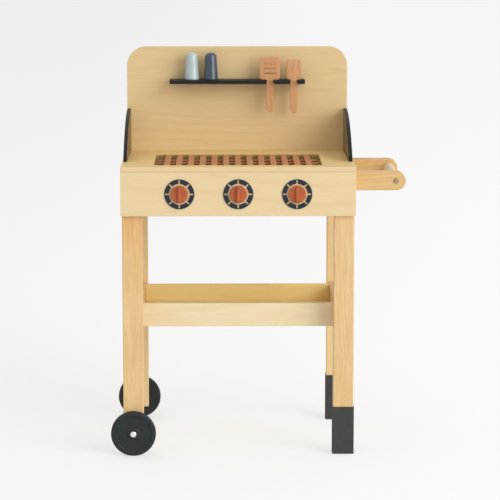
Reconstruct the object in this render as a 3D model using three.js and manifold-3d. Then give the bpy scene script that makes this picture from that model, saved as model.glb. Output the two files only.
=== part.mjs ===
// Wooden toy barbecue grill: a worktop box with three knobs and a grate stands on four legs, with a splash
// panel, two wings and a shelf above it, and a tray between the legs. It has wheels at the left, and capped
// feet and a handle at the right. Lengths are in millimetres, +Z is up, the front faces -Y, and left and right
// are as seen from the front.
import * as THREE from "three";
import { mergeVertices } from "three/addons/utils/BufferGeometryUtils.js";
import Module from "manifold-3d";

const wasm = await Module();
wasm.setup();

// Worktop box
const boxWidth = 424;
const worktopHeight = 530;
const worktopDepth = 287;
const worktopThick = 9;
const frontPanelHeight = 80;
const frontPanelThick = 10;
const sideBoardThick = 9;

// Well in the worktop, and the grate that lies in it
const wellWidth = 305;
const wellDepth = 180;
const wellSetback = 32;
const wellCorner = 4;
const wellFloorThick = 5;
const wellFloorLap = 14;
const grateBarCount = 13;
const grateBarPitch = 21.6;
const grateBarWidth = 11;
const grateBarHeight = 5;
const grateCrossCount = 3;
const grateCrossWidth = 9;
const grateCrossHeight = 3.5;
const grateBite = 1;
const gratePlay = 3;

// Legs and foot caps
const legWidth = 37;
const legDepth = 22;
const legInset = 2;
const wheelLegBottom = 26;
const footCapHeight = 88;
const footCapWall = 1;
const footCapSole = 5;

// Tray
const trayBottom = 230;
const trayHeight = 43;
const trayDepth = 223;
const trayRailThick = 10;
const trayStretcherThick = 10;
const trayStretcherInset = 4;
const trayFloorThick = 5;
const trayFloorRise = 6;

// Splash panel and wings
const panelRise = 198;
const panelThick = 10;
const panelInset = 2.25;
const panelCorner = 36;
const wingLength = 201;
const wingThick = 7;
const wingHeight = 80;
const wingNoseHeight = 10;
const wingBulge = 17;
const wingTabLength = 20;
const wingTabDrop = 6;
const wingTabReach = 55;

// Shelf, and what it holds
const shelfWidth = 256;
const shelfDepth = 45;
const shelfThick = 7;
const shelfRise = 137;
const shelfCorner = 3;
const shelfSlotDepth = 30;
const shelfSlotPlay = 1;
const spatulaX = 62;
const forkX = 107;
const lightShakerX = -86;
const darkShakerX = -50;
const shakerBaseRadius = 13.75;
const shakerNeckRadius = 11;
const shakerNeckHeight = 44;
const shakerHeight = 51.5;
const shakerFoot = 1.5;
const utensilThick = 6;
const utensilHandleWidth = 13;
const utensilSetback = 13;
const spatulaHeadWidth = 38.5;
const spatulaHeadHeight = 42;
const spatulaHandleLength = 61;
const spatulaSlotCount = 3;
const spatulaSlotWidth = 22;
const spatulaSlotHeight = 2.5;
const spatulaSlotPitch = 9;
const forkHeadWidth = 27;
const forkHeadHeight = 38;
const forkHandleLength = 64;
const forkTineCount = 3;
const forkTineGap = 3.5;
const forkTineLength = 18;
const utensilCorner = 5;

// Knobs and dials
const knobSpacing = 106;
const knobRadius = 15.75;
const knobDepth = 8;
const knobEdge = 1.5;
const knobRidgeWidth = 5.5;
const knobRidgeDepth = 6;
const knobRidgeEnd = 1;
const dialRadius = 27;
const dialHoleRadius = 19;
const dialThick = 1.5;
const dialTickCount = 8;
const dialTickWidth = 3;
const dialTickLength = 6.5;
const spindleRadius = 3;
const spindleHeadRadius = 6.5;
const spindleHeadThick = 2.5;
const spindleReach = 7;

// Wheels and axle
const wheelRadius = 41;
const wheelThick = 13;
const wheelShoulder = 3;
const wheelRimWidth = 8;
const wheelDish = 1.5;
const axleRadius = 4;
const washerRadius = 10;
const washerThick = 1;
const hubCapRadius = 5.5;
const hubCapDepth = 4;
const hubCapWall = 1.25;
const hubCapDome = 1;

// Handle
const armLength = 92;
const armHeight = 34.5;
const armThick = 22;
const armSpacing = 205;
const gripRadius = 9.75;
const gripBoltRadius = 3;
const gripBoltBite = 24;
const gripBoltHeadRadius = 4.5;
const gripBoltHeadThick = 3;

// Wood screws
const screwRadius = 2.25;
const screwHeadRadius = 4;
const screwHeadThick = 2;
const armScrewBite = 30;
const armScrewSpread = 16;
const panelScrewBite = 16;
const panelScrewSpread = 40;
const shelfScrewRadius = 1.25;
const shelfScrewHeadRadius = 3.5;
const shelfScrewBite = 12;
const shelfScrewInset = 28;

// Fits: a hairline between boards, the play round a turning or screwed part, and the overrun of a cut
const seam = 0.25;
const play = 0.35;
const overrun = 2;

// Facets round a full turn
const wheelFacets = 48;
const knobFacets = 32;
const smallFacets = 12;
const arcFacets = 6;

const finishes = {
  ply: { color: 0xeed6a6, roughness: 0.55, metalness: 0 },
  beech: { color: 0xe9c792, roughness: 0.5, metalness: 0 },
  panelPly: { color: 0xdcbe8f, roughness: 0.6, metalness: 0 },
  navyPaint: { color: 0x2b3038, roughness: 0.5, metalness: 0 },
  terracotta: { color: 0xbb6341, roughness: 0.6, metalness: 0 },
  paleTerracotta: { color: 0xc8966a, roughness: 0.6, metalness: 0 },
  dialPaint: { color: 0x1f2c3a, roughness: 0.5, metalness: 0 },
  rubber: { color: 0x373f41, roughness: 0.7, metalness: 0 },
  footRubber: { color: 0x50524f, roughness: 0.75, metalness: 0 },
  paleBlue: { color: 0xb0bdbd, roughness: 0.45, metalness: 0 },
  slateBlue: { color: 0x4a5a68, roughness: 0.45, metalness: 0 },
  steel: { color: 0xc4c8ca, roughness: 0.3, metalness: 1 },
  darkSteel: { color: 0x6f675a, roughness: 0.4, metalness: 1 },
};

// Planes that several pieces share
const halfBox = boxWidth / 2;
const worktopUnder = worktopHeight - worktopThick;
const carrierTop = worktopUnder - seam;
const boxBottom = worktopUnder - frontPanelHeight;
const legOuter = halfBox - legInset;
const legInner = legOuter - legWidth;
const frontLegFront = frontPanelThick + seam;
const frontLegBack = frontLegFront + legDepth;
const panelFront = worktopDepth;
const panelBack = panelFront + panelThick;
const backLegFront = panelBack + seam;
const backLegBack = backLegFront + legDepth;
const wellFloorTop = worktopUnder - seam;
const knobZ = boxBottom + frontPanelHeight / 2;
const knobPlaces = { left: -1, middle: 0, right: 1 };
const knobXs = Object.values(knobPlaces).map((place) => place * knobSpacing);
const axleX = -(legInner + legOuter) / 2;
const wheelGap = washerThick + 2 * seam;
const frontWheelFace = frontLegFront - wheelGap;
const backWheelFace = backLegBack + wheelGap;
const armTop = worktopUnder - seam;
const armZ = armTop - armHeight / 2;
const armEnd = legOuter + seam + armLength;
const gripX = armEnd - armHeight / 2;
const backArmFront = frontLegFront + armSpacing;
const shelfTop = worktopHeight + shelfRise;
const shelfFront = panelFront - seam - shelfDepth;

// Solids

function solidOf(geometry) {
  const plain = geometry.index ? geometry.toNonIndexed() : geometry.clone();
  plain.deleteAttribute("normal");
  plain.deleteAttribute("uv");
  const merged = mergeVertices(plain);
  const corners = merged.index.array;
  const kept = [];
  for (let i = 0; i < corners.length; i += 3) {
    const [a, b, c] = corners.slice(i, i + 3);
    if (a !== b && b !== c && c !== a) kept.push(a, b, c);
  }
  const vertProperties = merged.attributes.position.array;
  return new wasm.Manifold(new wasm.Mesh({ numProp: 3, vertProperties, triVerts: new Uint32Array(kept) }));
}

function geometryOf(solid) {
  const mesh = solid.getMesh();
  const geometry = new THREE.BufferGeometry();
  geometry.setAttribute("position", new THREE.BufferAttribute(mesh.vertProperties, mesh.numProp));
  geometry.setIndex(new THREE.BufferAttribute(mesh.triVerts, 1));
  const faceted = geometry.toNonIndexed();
  faceted.computeVertexNormals();
  return faceted;
}

const join = (...solids) => solids.reduce((whole, solid) => whole.add(solid));
const cut = (solid, ...tools) => tools.reduce((rest, tool) => rest.subtract(tool), solid);

// A block between two values on each axis
function block([x0, x1], [y0, y1], [z0, z1]) {
  const geometry = new THREE.BoxGeometry(x1 - x0, y1 - y0, z1 - z0);
  return solidOf(geometry.translate((x0 + x1) / 2, (y0 + y1) / 2, (z0 + z1) / 2));
}

// Directions that a turned piece or a plate can take: local x, y and z in the object's axes
const axes = { X: new THREE.Vector3(1, 0, 0), Y: new THREE.Vector3(0, 1, 0), Z: new THREE.Vector3(0, 0, 1) };
const turnedAlong = {
  X: new THREE.Matrix4().makeBasis(axes.Y, axes.X, axes.Z.clone().negate()),
  Y: new THREE.Matrix4(),
  Z: new THREE.Matrix4().makeBasis(axes.Y, axes.Z, axes.X),
};
const plateAcross = {
  X: new THREE.Matrix4().makeBasis(axes.Y, axes.Z, axes.X),
  Y: new THREE.Matrix4().makeBasis(axes.X, axes.Z, axes.Y.clone().negate()),
  Z: new THREE.Matrix4(),
};

// A profile of [radius, distance] points turned round an axis that starts at a place
function turned(profile, axis, [x, y, z], facets) {
  const points = profile.map(([radius, distance]) => new THREE.Vector2(radius, distance));
  const geometry = new THREE.LatheGeometry(points, facets);
  return solidOf(geometry.applyMatrix4(turnedAlong[axis]).translate(x, y, z));
}

// A plain round rod, also used as the tool for a round hole
function rod(radius, axis, [start, end], [x, y, z], facets = smallFacets) {
  const geometry = new THREE.CylinderGeometry(radius, radius, end - start, facets);
  geometry.translate(0, (start + end) / 2, 0);
  return solidOf(geometry.applyMatrix4(turnedAlong[axis]).translate(x, y, z));
}

// An outline extruded between two values across an axis
function plate(outline, axis, [start, end]) {
  const geometry = new THREE.ExtrudeGeometry(outline, {
    depth: end - start,
    bevelEnabled: false,
    curveSegments: arcFacets,
  });
  geometry.applyMatrix4(plateAcross[axis]);
  const along = axes[axis].clone().multiplyScalar(axis === "Y" ? end : start);
  return solidOf(geometry.translate(along.x, along.y, along.z));
}

// A rectangle with round corners, from one corner to the opposite one
function roundedRectangle([x0, y0], [x1, y1], radius) {
  const outline = new THREE.Shape();
  outline.absarc(x1 - radius, y0 + radius, radius, -Math.PI / 2, 0);
  outline.absarc(x1 - radius, y1 - radius, radius, 0, Math.PI / 2);
  outline.absarc(x0 + radius, y1 - radius, radius, Math.PI / 2, Math.PI);
  outline.absarc(x0 + radius, y0 + radius, radius, Math.PI, 1.5 * Math.PI);
  return outline;
}

// A headed screw or bolt whose shank starts at its head's seat and runs along an axis
const headChamferShare = 1 / 3;

function headed(shankRadius, shankLength, headRadius, headThick, axis, place) {
  const chamfer = headThick * headChamferShare;
  const profile = [
    [0, -headThick],
    [headRadius - chamfer, -headThick],
    [headRadius, chamfer - headThick],
    [headRadius, 0],
    [shankRadius, 0],
    [shankRadius, shankLength],
    [0, shankLength],
  ];
  return turned(profile, axis, place, smallFacets);
}

// Adds a piece to a group: its mesh is centred on its own middle and stands where it was modelled
function addPiece(group, name, solid, finish) {
  const geometry = geometryOf(solid);
  geometry.computeBoundingBox();
  const middle = geometry.boundingBox.getCenter(new THREE.Vector3());
  geometry.translate(-middle.x, -middle.y, -middle.z);
  const mesh = new THREE.Mesh(geometry, new THREE.MeshStandardMaterial(finish));
  mesh.name = name;
  mesh.position.copy(middle);
  group.add(mesh);
}

// The left side is -1 and the right side is 1
const sides = { left: -1, right: 1 };
const span = (side, inner, outer) => (side < 0 ? [-outer, -inner] : [inner, outer]);

// Legs: the left ones carry the axle, and the right ones stand in foot caps

function legSolid(side, front) {
  const bottom = side < 0 ? wheelLegBottom : footCapSole + seam;
  return block(span(side, legInner, legOuter), [front, front + legDepth], [bottom, carrierTop]);
}

function axleHole(front) {
  return rod(axleRadius + play, "Y", [-overrun, legDepth + overrun], [axleX, front, wheelRadius]);
}

const armScrewZs = [armZ - armScrewSpread / 2, armZ + armScrewSpread / 2];
const panelScrewZs = [knobZ - panelScrewSpread / 2, knobZ + panelScrewSpread / 2];
const panelScrewX = legInner + legWidth / 2;

function armScrewHole([start, end], y, z) {
  return rod(screwRadius + play, "X", [start, end], [0, y, z]);
}

function panelScrewHole(side, z) {
  const reach = [-overrun, panelThick + panelScrewBite + seam + play];
  return rod(screwRadius + play, "Y", reach, [side * panelScrewX, panelFront, z]);
}

function footCap(side, front) {
  const skin = seam + footCapWall;
  const [x0, x1] = span(side, legInner, legOuter);
  const hollow = block([x0 - seam, x1 + seam], [front - seam, front + legDepth + seam], [
    footCapSole,
    footCapHeight + overrun,
  ]);
  const shell = block([x0 - skin, x1 + skin], [front - skin, front + legDepth + skin], [0, footCapHeight]);
  return cut(shell, hollow);
}

function buildLegs() {
  const group = new THREE.Group();
  const armScrewY = frontLegFront + armThick / 2;
  const armHoles = armScrewZs.map((z) => armScrewHole([legInner - overrun, legOuter + overrun], armScrewY, z));
  for (const [where, side] of Object.entries(sides)) {
    const panelHoles = panelScrewZs.map((z) => panelScrewHole(side, z));
    const frontTools = side < 0 ? [axleHole(frontLegFront)] : armHoles;
    const backTools = side < 0 ? [axleHole(backLegFront), ...panelHoles] : panelHoles;
    addPiece(group, `${where}_front_leg`, cut(legSolid(side, frontLegFront), ...frontTools), finishes.beech);
    addPiece(group, `${where}_back_leg`, cut(legSolid(side, backLegFront), ...backTools), finishes.beech);
  }
  addPiece(group, "front_foot_cap", footCap(sides.right, frontLegFront), finishes.footRubber);
  addPiece(group, "back_foot_cap", footCap(sides.right, backLegFront), finishes.footRubber);
  return group;
}

// Tray: two stretchers between the legs, with a rail at the front and back and a floor between them

function buildTray() {
  const group = new THREE.Group();
  const inner = legInner + trayStretcherInset;
  const height = [trayBottom, trayBottom + trayHeight];
  const middle = (frontLegFront + backLegBack) / 2;
  const front = middle - trayDepth / 2;
  const back = middle + trayDepth / 2;
  const length = [-inner + seam, inner - seam];
  const floorBottom = trayBottom + trayFloorRise;
  for (const [where, side] of Object.entries(sides)) {
    const across = span(side, inner, inner + trayStretcherThick);
    const between = [frontLegBack + seam, backLegFront - seam];
    addPiece(group, `tray_${where}_stretcher`, block(across, between, height), finishes.beech);
  }
  const floorDepth = [front + trayRailThick + seam, back - trayRailThick - seam];
  const floor = block(length, floorDepth, [floorBottom, floorBottom + trayFloorThick]);
  addPiece(group, "tray_front_rail", block(length, [front, front + trayRailThick], height), finishes.ply);
  addPiece(group, "tray_back_rail", block(length, [back - trayRailThick, back], height), finishes.ply);
  addPiece(group, "tray_floor", floor, finishes.ply);
  return group;
}

// Worktop box

const wellLeft = -wellWidth / 2;
const wellBack = wellSetback + wellDepth;
const wingFront = panelFront - seam - wingLength;
const wingOuter = halfBox - panelInset;
const wingTabYs = [wingFront + wingLength / 2 - wingTabReach, wingFront + wingLength / 2 + wingTabReach];

function wingTab(side, y, slack) {
  const across = span(side, wingOuter - wingThick - slack, wingOuter + slack);
  const along = [y - wingTabLength / 2 - slack, y + wingTabLength / 2 + slack];
  return block(across, along, [worktopHeight - wingTabDrop - slack, worktopHeight + seam + overrun]);
}

function worktop() {
  const slab = block([-halfBox, halfBox], [0, worktopDepth - seam], [worktopUnder, worktopHeight]);
  const outline = roundedRectangle([wellLeft, wellSetback], [-wellLeft, wellBack], wellCorner);
  const well = plate(outline, "Z", [worktopUnder - overrun, worktopHeight + overrun]);
  const slots = Object.values(sides).flatMap((side) => wingTabYs.map((y) => wingTab(side, y, seam)));
  return cut(slab, well, ...slots);
}

function frontPanel() {
  const board = block([-halfBox, halfBox], [0, frontPanelThick], [boxBottom, carrierTop]);
  const reach = [-overrun, frontPanelThick + overrun];
  const holes = knobXs.map((x) => rod(spindleRadius + play, "Y", reach, [x, 0, knobZ]));
  return cut(board, ...holes);
}

function sideBoard(side) {
  const across = span(side, legOuter - sideBoardThick, legOuter);
  const board = block(across, [frontLegBack + seam, panelFront - seam], [boxBottom, carrierTop]);
  if (side < 0) return board;
  const reach = [legOuter - sideBoardThick - overrun, legOuter + overrun];
  return cut(board, ...armScrewZs.map((z) => armScrewHole(reach, backArmFront + armThick / 2, z)));
}

function wellFloor() {
  const across = wellWidth / 2 + wellFloorLap;
  const along = [wellSetback - wellFloorLap, wellBack + wellFloorLap];
  return block([-across, across], along, [wellFloorTop - wellFloorThick, wellFloorTop]);
}

function grate() {
  const bottom = wellFloorTop + seam;
  const barBottom = bottom + grateCrossHeight - grateBite;
  const barTop = bottom + grateCrossHeight + grateBarHeight;
  const ends = [wellSetback + gratePlay, wellBack - gratePlay];
  const firstBar = (-grateBarPitch * (grateBarCount - 1)) / 2;
  const bars = Array.from({ length: grateBarCount }, (_, i) => {
    const x = firstBar + i * grateBarPitch;
    return block([x - grateBarWidth / 2, x + grateBarWidth / 2], ends, [barBottom, barTop]);
  });
  const reach = wellWidth / 2 - gratePlay;
  const crossStep = wellDepth / (grateCrossCount + 1);
  const crossBars = Array.from({ length: grateCrossCount }, (_, i) => {
    const y = wellSetback + (i + 1) * crossStep;
    const along = [y - grateCrossWidth / 2, y + grateCrossWidth / 2];
    return block([-reach, reach], along, [bottom, bottom + grateCrossHeight]);
  });
  return join(...crossBars, ...bars);
}

function buildBox() {
  const group = new THREE.Group();
  addPiece(group, "front_panel", frontPanel(), finishes.ply);
  addPiece(group, "left_side_board", sideBoard(sides.left), finishes.ply);
  addPiece(group, "right_side_board", sideBoard(sides.right), finishes.ply);
  addPiece(group, "worktop", worktop(), finishes.ply);
  addPiece(group, "well_floor", wellFloor(), finishes.panelPly);
  addPiece(group, "grate", grate(), finishes.terracotta);
  return group;
}

// Splash panel with its wings, and the screws that hold it to the back legs

const shelfScrewX = shelfWidth / 2 - shelfScrewInset;
const shelfScrewZ = shelfTop - shelfThick / 2;

function shelfScrewHole(side, [start, end]) {
  return rod(shelfScrewRadius + play, "Y", [start, end], [side * shelfScrewX, 0, shelfScrewZ]);
}

function splashPanel() {
  const cornerX = wingOuter - panelCorner;
  const cornerZ = worktopHeight + panelRise - panelCorner;
  const outline = new THREE.Shape();
  outline.moveTo(-wingOuter, boxBottom);
  outline.lineTo(wingOuter, boxBottom);
  outline.absarc(cornerX, cornerZ, panelCorner, 0, Math.PI / 2);
  outline.absarc(-cornerX, cornerZ, panelCorner, Math.PI / 2, Math.PI);
  const board = plate(outline, "Y", [panelFront, panelBack]);
  const holes = Object.values(sides).flatMap((side) => [
    shelfScrewHole(side, [panelFront - overrun, panelBack + overrun]),
    ...panelScrewZs.map((z) => panelScrewHole(side, z)),
  ]);
  return cut(board, ...holes);
}

function wing(side) {
  const back = wingFront + wingLength;
  const bottom = worktopHeight + seam;
  const nose = new THREE.Vector2(wingFront, bottom + wingNoseHeight);
  const tip = new THREE.Vector2(back, bottom + wingHeight);
  const chord = tip.clone().sub(nose);
  const outward = new THREE.Vector2(-chord.y, chord.x).normalize();
  const crown = nose.clone().add(tip).divideScalar(2).addScaledVector(outward, 2 * wingBulge);
  const outline = new THREE.Shape();
  outline.moveTo(wingFront, bottom);
  outline.lineTo(back, bottom);
  outline.lineTo(tip.x, tip.y);
  outline.quadraticCurveTo(crown.x, crown.y, nose.x, nose.y);
  const board = plate(outline, "X", span(side, wingOuter - wingThick, wingOuter));
  return join(board, ...wingTabYs.map((y) => wingTab(side, y, 0)));
}

function buildSplash() {
  const group = new THREE.Group();
  addPiece(group, "splash_panel", splashPanel(), finishes.panelPly);
  const shank = panelThick + panelScrewBite;
  for (const [where, side] of Object.entries(sides)) {
    addPiece(group, `${where}_wing`, wing(side), finishes.navyPaint);
    for (const [level, z] of [["lower", panelScrewZs[0]], ["upper", panelScrewZs[1]]]) {
      const place = [side * panelScrewX, panelFront - seam, z];
      const screw = headed(screwRadius, shank, screwHeadRadius, screwHeadThick, "Y", place);
      addPiece(group, `${where}_${level}_panel_screw`, screw, finishes.steel);
    }
  }
  return group;
}

// Shelf with two slots that are open at the front, and what stands on it or hangs in it

function shelf() {
  const half = shelfWidth / 2;
  const outline = roundedRectangle([-half, shelfFront], [half, panelFront - seam], shelfCorner);
  const board = plate(outline, "Z", [shelfTop - shelfThick, shelfTop]);
  const slotRadius = utensilHandleWidth / 2 + shelfSlotPlay;
  const through = [shelfTop - shelfThick - overrun, shelfTop + overrun];
  const slots = [spatulaX, forkX].map((x) => {
    const end = shelfFront + shelfSlotDepth - slotRadius;
    const throat = block([x - slotRadius, x + slotRadius], [shelfFront - overrun, end], through);
    return join(throat, rod(slotRadius, "Z", through, [x, end, 0]));
  });
  const screwReach = [panelFront - seam - shelfScrewBite - play, panelFront + overrun];
  const holes = Object.values(sides).map((side) => shelfScrewHole(side, screwReach));
  return cut(board, ...slots, ...holes);
}

function shaker(x) {
  const crown = shakerHeight - shakerNeckHeight;
  const profile = [
    [0, 0],
    [shakerBaseRadius - shakerFoot, 0],
    [shakerBaseRadius, shakerFoot],
    [shakerNeckRadius, shakerNeckHeight],
  ];
  for (let i = 1; i < arcFacets; i++) {
    const angle = ((i / arcFacets) * Math.PI) / 2;
    profile.push([shakerNeckRadius * Math.cos(angle), shakerNeckHeight + crown * Math.sin(angle)]);
  }
  profile.push([0, shakerHeight]);
  return turned(profile, "Z", [x, panelFront - seam - shelfDepth / 2, shelfTop + seam], knobFacets);
}

// A head on shoulders, with a round-ended handle below it; the shoulders rest on the shelf
function utensilOutline(headWidth, headHeight, handleLength) {
  const half = headWidth / 2;
  const grip = utensilHandleWidth / 2;
  const outline = new THREE.Shape();
  outline.absarc(0, grip - handleLength, grip, Math.PI, 2 * Math.PI);
  outline.lineTo(grip, 0);
  outline.absarc(half - utensilCorner, utensilCorner, utensilCorner, -Math.PI / 2, 0);
  outline.absarc(half - utensilCorner, headHeight - utensilCorner, utensilCorner, 0, Math.PI / 2);
  outline.absarc(utensilCorner - half, headHeight - utensilCorner, utensilCorner, Math.PI / 2, Math.PI);
  outline.absarc(utensilCorner - half, utensilCorner, utensilCorner, Math.PI, 1.5 * Math.PI);
  outline.lineTo(-grip, 0);
  return outline;
}

const utensilFront = shelfFront + utensilSetback;
const utensilDepth = [utensilFront, utensilFront + utensilThick];
const utensilCut = [utensilFront - overrun, utensilFront + utensilThick + overrun];
const shoulderZ = shelfTop + seam;

function hung(outline, x) {
  return plate(outline, "Y", utensilDepth).translate([x, 0, shoulderZ]);
}

function spatula() {
  const body = hung(utensilOutline(spatulaHeadWidth, spatulaHeadHeight, spatulaHandleLength), spatulaX);
  const middle = shoulderZ + spatulaHeadHeight / 2;
  const slots = Array.from({ length: spatulaSlotCount }, (_, i) => {
    const z = middle + (i - (spatulaSlotCount - 1) / 2) * spatulaSlotPitch;
    const across = [spatulaX - spatulaSlotWidth / 2, spatulaX + spatulaSlotWidth / 2];
    return block(across, utensilCut, [z - spatulaSlotHeight / 2, z + spatulaSlotHeight / 2]);
  });
  return cut(body, ...slots);
}

function fork() {
  const body = hung(utensilOutline(forkHeadWidth, forkHeadHeight, forkHandleLength), forkX);
  const top = shoulderZ + forkHeadHeight;
  const pitch = (forkHeadWidth + forkTineGap) / forkTineCount;
  const gaps = Array.from({ length: forkTineCount - 1 }, (_, i) => {
    const x = forkX + (i - (forkTineCount - 2) / 2) * pitch;
    const across = [x - forkTineGap / 2, x + forkTineGap / 2];
    return block(across, utensilCut, [top - forkTineLength, top + overrun]);
  });
  return cut(body, ...gaps);
}

function buildShelf() {
  const group = new THREE.Group();
  addPiece(group, "shelf", shelf(), finishes.navyPaint);
  const shank = panelThick + shelfScrewBite;
  for (const [where, side] of Object.entries(sides)) {
    const screw = headed(shelfScrewRadius, shank, shelfScrewHeadRadius, screwHeadThick, "Y", [0, 0, 0]);
    const placed = screw.rotate([0, 0, 180]).translate([side * shelfScrewX, panelBack + seam, shelfScrewZ]);
    addPiece(group, `${where}_shelf_screw`, placed, finishes.steel);
  }
  addPiece(group, "light_shaker", shaker(lightShakerX), finishes.paleBlue);
  addPiece(group, "dark_shaker", shaker(darkShakerX), finishes.slateBlue);
  addPiece(group, "spatula", spatula(), finishes.paleTerracotta);
  addPiece(group, "fork", fork(), finishes.paleTerracotta);
  return group;
}

// Knobs: each turns with its spindle in the front panel, inside a dial ring

function dialRing() {
  const faces = [-seam - dialThick, -seam];
  const disc = rod(dialRadius, "Y", faces, [0, 0, 0], knobFacets);
  const hole = rod(dialHoleRadius, "Y", [faces[0] - overrun, faces[1] + overrun], [0, 0, 0], knobFacets);
  const ticks = Array.from({ length: dialTickCount }, (_, i) => {
    const depth = [faces[0] - overrun, faces[1] + overrun];
    const mark = block([-dialTickWidth / 2, dialTickWidth / 2], depth, [0, dialHoleRadius + dialTickLength]);
    return mark.rotate([0, (i * 360) / dialTickCount, 0]);
  });
  return cut(disc, hole, ...ticks);
}

function knob() {
  const profile = [
    [0, -knobDepth],
    [knobRadius - knobEdge, -knobDepth],
    [knobRadius, knobEdge - knobDepth],
    [knobRadius, 0],
    [0, 0],
  ];
  const body = turned(profile, "Y", [0, -play, 0], knobFacets);
  const front = -play - knobDepth - knobRidgeDepth;
  const ridgeReach = knobRadius - knobEdge - knobRidgeEnd;
  const ridge = block(
    [-knobRidgeWidth / 2, knobRidgeWidth / 2],
    [front, -play - knobDepth / 2],
    [-ridgeReach, ridgeReach],
  );
  const bore = rod(spindleRadius + seam, "Y", [-play - spindleReach - seam, overrun], [0, 0, 0]);
  return cut(join(body, ridge), bore);
}

function spindle() {
  const shank = frontPanelThick + play + spindleReach;
  const screw = headed(spindleRadius, shank, spindleHeadRadius, spindleHeadThick, "Y", [0, 0, 0]);
  return screw.rotate([0, 0, 180]).translate([0, frontPanelThick + seam, 0]);
}

function buildKnobs() {
  const group = new THREE.Group();
  Object.entries(knobPlaces).forEach(([where, place]) => {
    const station = new THREE.Group();
    station.position.set(place * knobSpacing, 0, knobZ);
    addPiece(station, `${where}_dial_ring`, dialRing(), finishes.dialPaint);
    addPiece(station, `${where}_knob`, knob(), finishes.terracotta);
    addPiece(station, `${where}_knob_spindle`, spindle(), finishes.darkSteel);
    group.add(station);
  });
  return group;
}

// Wheels on one axle rod through both left legs; outward is -1 for the front wheel and 1 for the back one

function wheel() {
  const bore = axleRadius + play;
  const dishRadius = wheelRadius - wheelRimWidth;
  const profile = [
    [bore, 0],
    [wheelRadius - wheelShoulder, 0],
    [wheelRadius, wheelShoulder],
    [wheelRadius, wheelThick - wheelShoulder],
    [wheelRadius - wheelShoulder, wheelThick],
    [dishRadius, wheelThick],
    [dishRadius - wheelDish, wheelThick - wheelDish],
    [washerRadius + wheelDish, wheelThick - wheelDish],
    [washerRadius, wheelThick],
    [bore, wheelThick],
    [bore, 0],
  ];
  return turned(profile, "Y", [0, 0, 0], wheelFacets);
}

function washer() {
  const bore = axleRadius + play;
  const profile = [
    [bore, -seam - washerThick],
    [washerRadius, -seam - washerThick],
    [washerRadius, -seam],
    [bore, -seam],
    [bore, -seam - washerThick],
  ];
  return turned(profile, "Y", [0, 0, 0], smallFacets);
}

const axleEnd = wheelThick + hubCapDepth - hubCapWall;

function hubCap() {
  const seat = wheelThick + seam;
  const bore = axleRadius + seam;
  const profile = [
    [bore, seat],
    [hubCapRadius, seat],
    [hubCapRadius, seat + hubCapDepth - 2 * hubCapDome],
    [hubCapRadius - hubCapDome, seat + hubCapDepth - hubCapDome / 2],
    [0, seat + hubCapDepth],
    [0, seat + hubCapDepth - hubCapWall],
    [bore, seat + hubCapDepth - hubCapWall],
    [bore, seat],
  ];
  return turned(profile, "Y", [0, 0, 0], smallFacets);
}

function buildWheels() {
  const group = new THREE.Group();
  const stations = { front: [frontWheelFace, 180], back: [backWheelFace, 0] };
  for (const [where, [face, turn]] of Object.entries(stations)) {
    const station = new THREE.Group();
    station.position.set(axleX, face, wheelRadius);
    station.rotation.z = THREE.MathUtils.degToRad(turn);
    addPiece(station, `${where}_wheel`, wheel(), finishes.rubber);
    addPiece(station, `${where}_axle_washer`, washer(), finishes.steel);
    addPiece(station, `${where}_hub_cap`, hubCap(), finishes.steel);
    group.add(station);
  }
  const ends = [frontWheelFace - axleEnd, backWheelFace + axleEnd];
  addPiece(group, "axle_rod", rod(axleRadius, "Y", ends, [axleX, 0, wheelRadius]), finishes.steel);
  return group;
}

// Handle: two round-ended arms on the right side, with a grip between them

function arm(front) {
  const half = armHeight / 2;
  const outline = new THREE.Shape();
  outline.moveTo(legOuter + seam, armZ - half);
  outline.lineTo(gripX, armZ - half);
  outline.absarc(gripX, armZ, half, -Math.PI / 2, Math.PI / 2);
  outline.lineTo(legOuter + seam, armZ + half);
  const board = plate(outline, "Y", [front, front + armThick]);
  const boltHole = rod(gripBoltRadius + play, "Y", [-overrun, armThick + overrun], [gripX, front, armZ]);
  const screwReach = [legOuter - overrun, legOuter + armScrewBite + play];
  const screwHoles = armScrewZs.map((z) => armScrewHole(screwReach, front + armThick / 2, z));
  return cut(board, boltHole, ...screwHoles);
}

function grip() {
  const ends = [frontLegFront + armThick + seam, backArmFront - seam];
  const body = rod(gripRadius, "Y", ends, [gripX, 0, armZ], knobFacets);
  const bore = gripBoltRadius + play;
  const frontBore = rod(bore, "Y", [ends[0] - overrun, ends[0] + gripBoltBite], [gripX, 0, armZ]);
  const backBore = rod(bore, "Y", [ends[1] - gripBoltBite, ends[1] + overrun], [gripX, 0, armZ]);
  return cut(body, frontBore, backBore);
}

function gripBolt() {
  const shank = armThick + gripBoltBite - play;
  return headed(gripBoltRadius, shank, gripBoltHeadRadius, gripBoltHeadThick, "Y", [0, 0, 0]);
}

function buildHandle() {
  const group = new THREE.Group();
  addPiece(group, "front_arm", arm(frontLegFront), finishes.beech);
  addPiece(group, "back_arm", arm(backArmFront), finishes.beech);
  addPiece(group, "grip", grip(), finishes.beech);
  const frontBolt = gripBolt().translate([gripX, frontLegFront - seam, armZ]);
  const backBolt = gripBolt().rotate([0, 0, 180]).translate([gripX, backArmFront + armThick + seam, armZ]);
  addPiece(group, "front_grip_bolt", frontBolt, finishes.darkSteel);
  addPiece(group, "back_grip_bolt", backBolt, finishes.darkSteel);
  const seats = {
    front: [legInner - seam, frontLegFront + armThick / 2],
    back: [legOuter - sideBoardThick - seam, backArmFront + armThick / 2],
  };
  for (const [where, [seat, y]] of Object.entries(seats)) {
    const shank = legOuter + armScrewBite - seat;
    for (const [level, z] of [["lower", armScrewZs[0]], ["upper", armScrewZs[1]]]) {
      const screw = headed(screwRadius, shank, screwHeadRadius, screwHeadThick, "X", [seat, y, z]);
      addPiece(group, `${where}_${level}_arm_screw`, screw, finishes.steel);
    }
  }
  return group;
}

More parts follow.
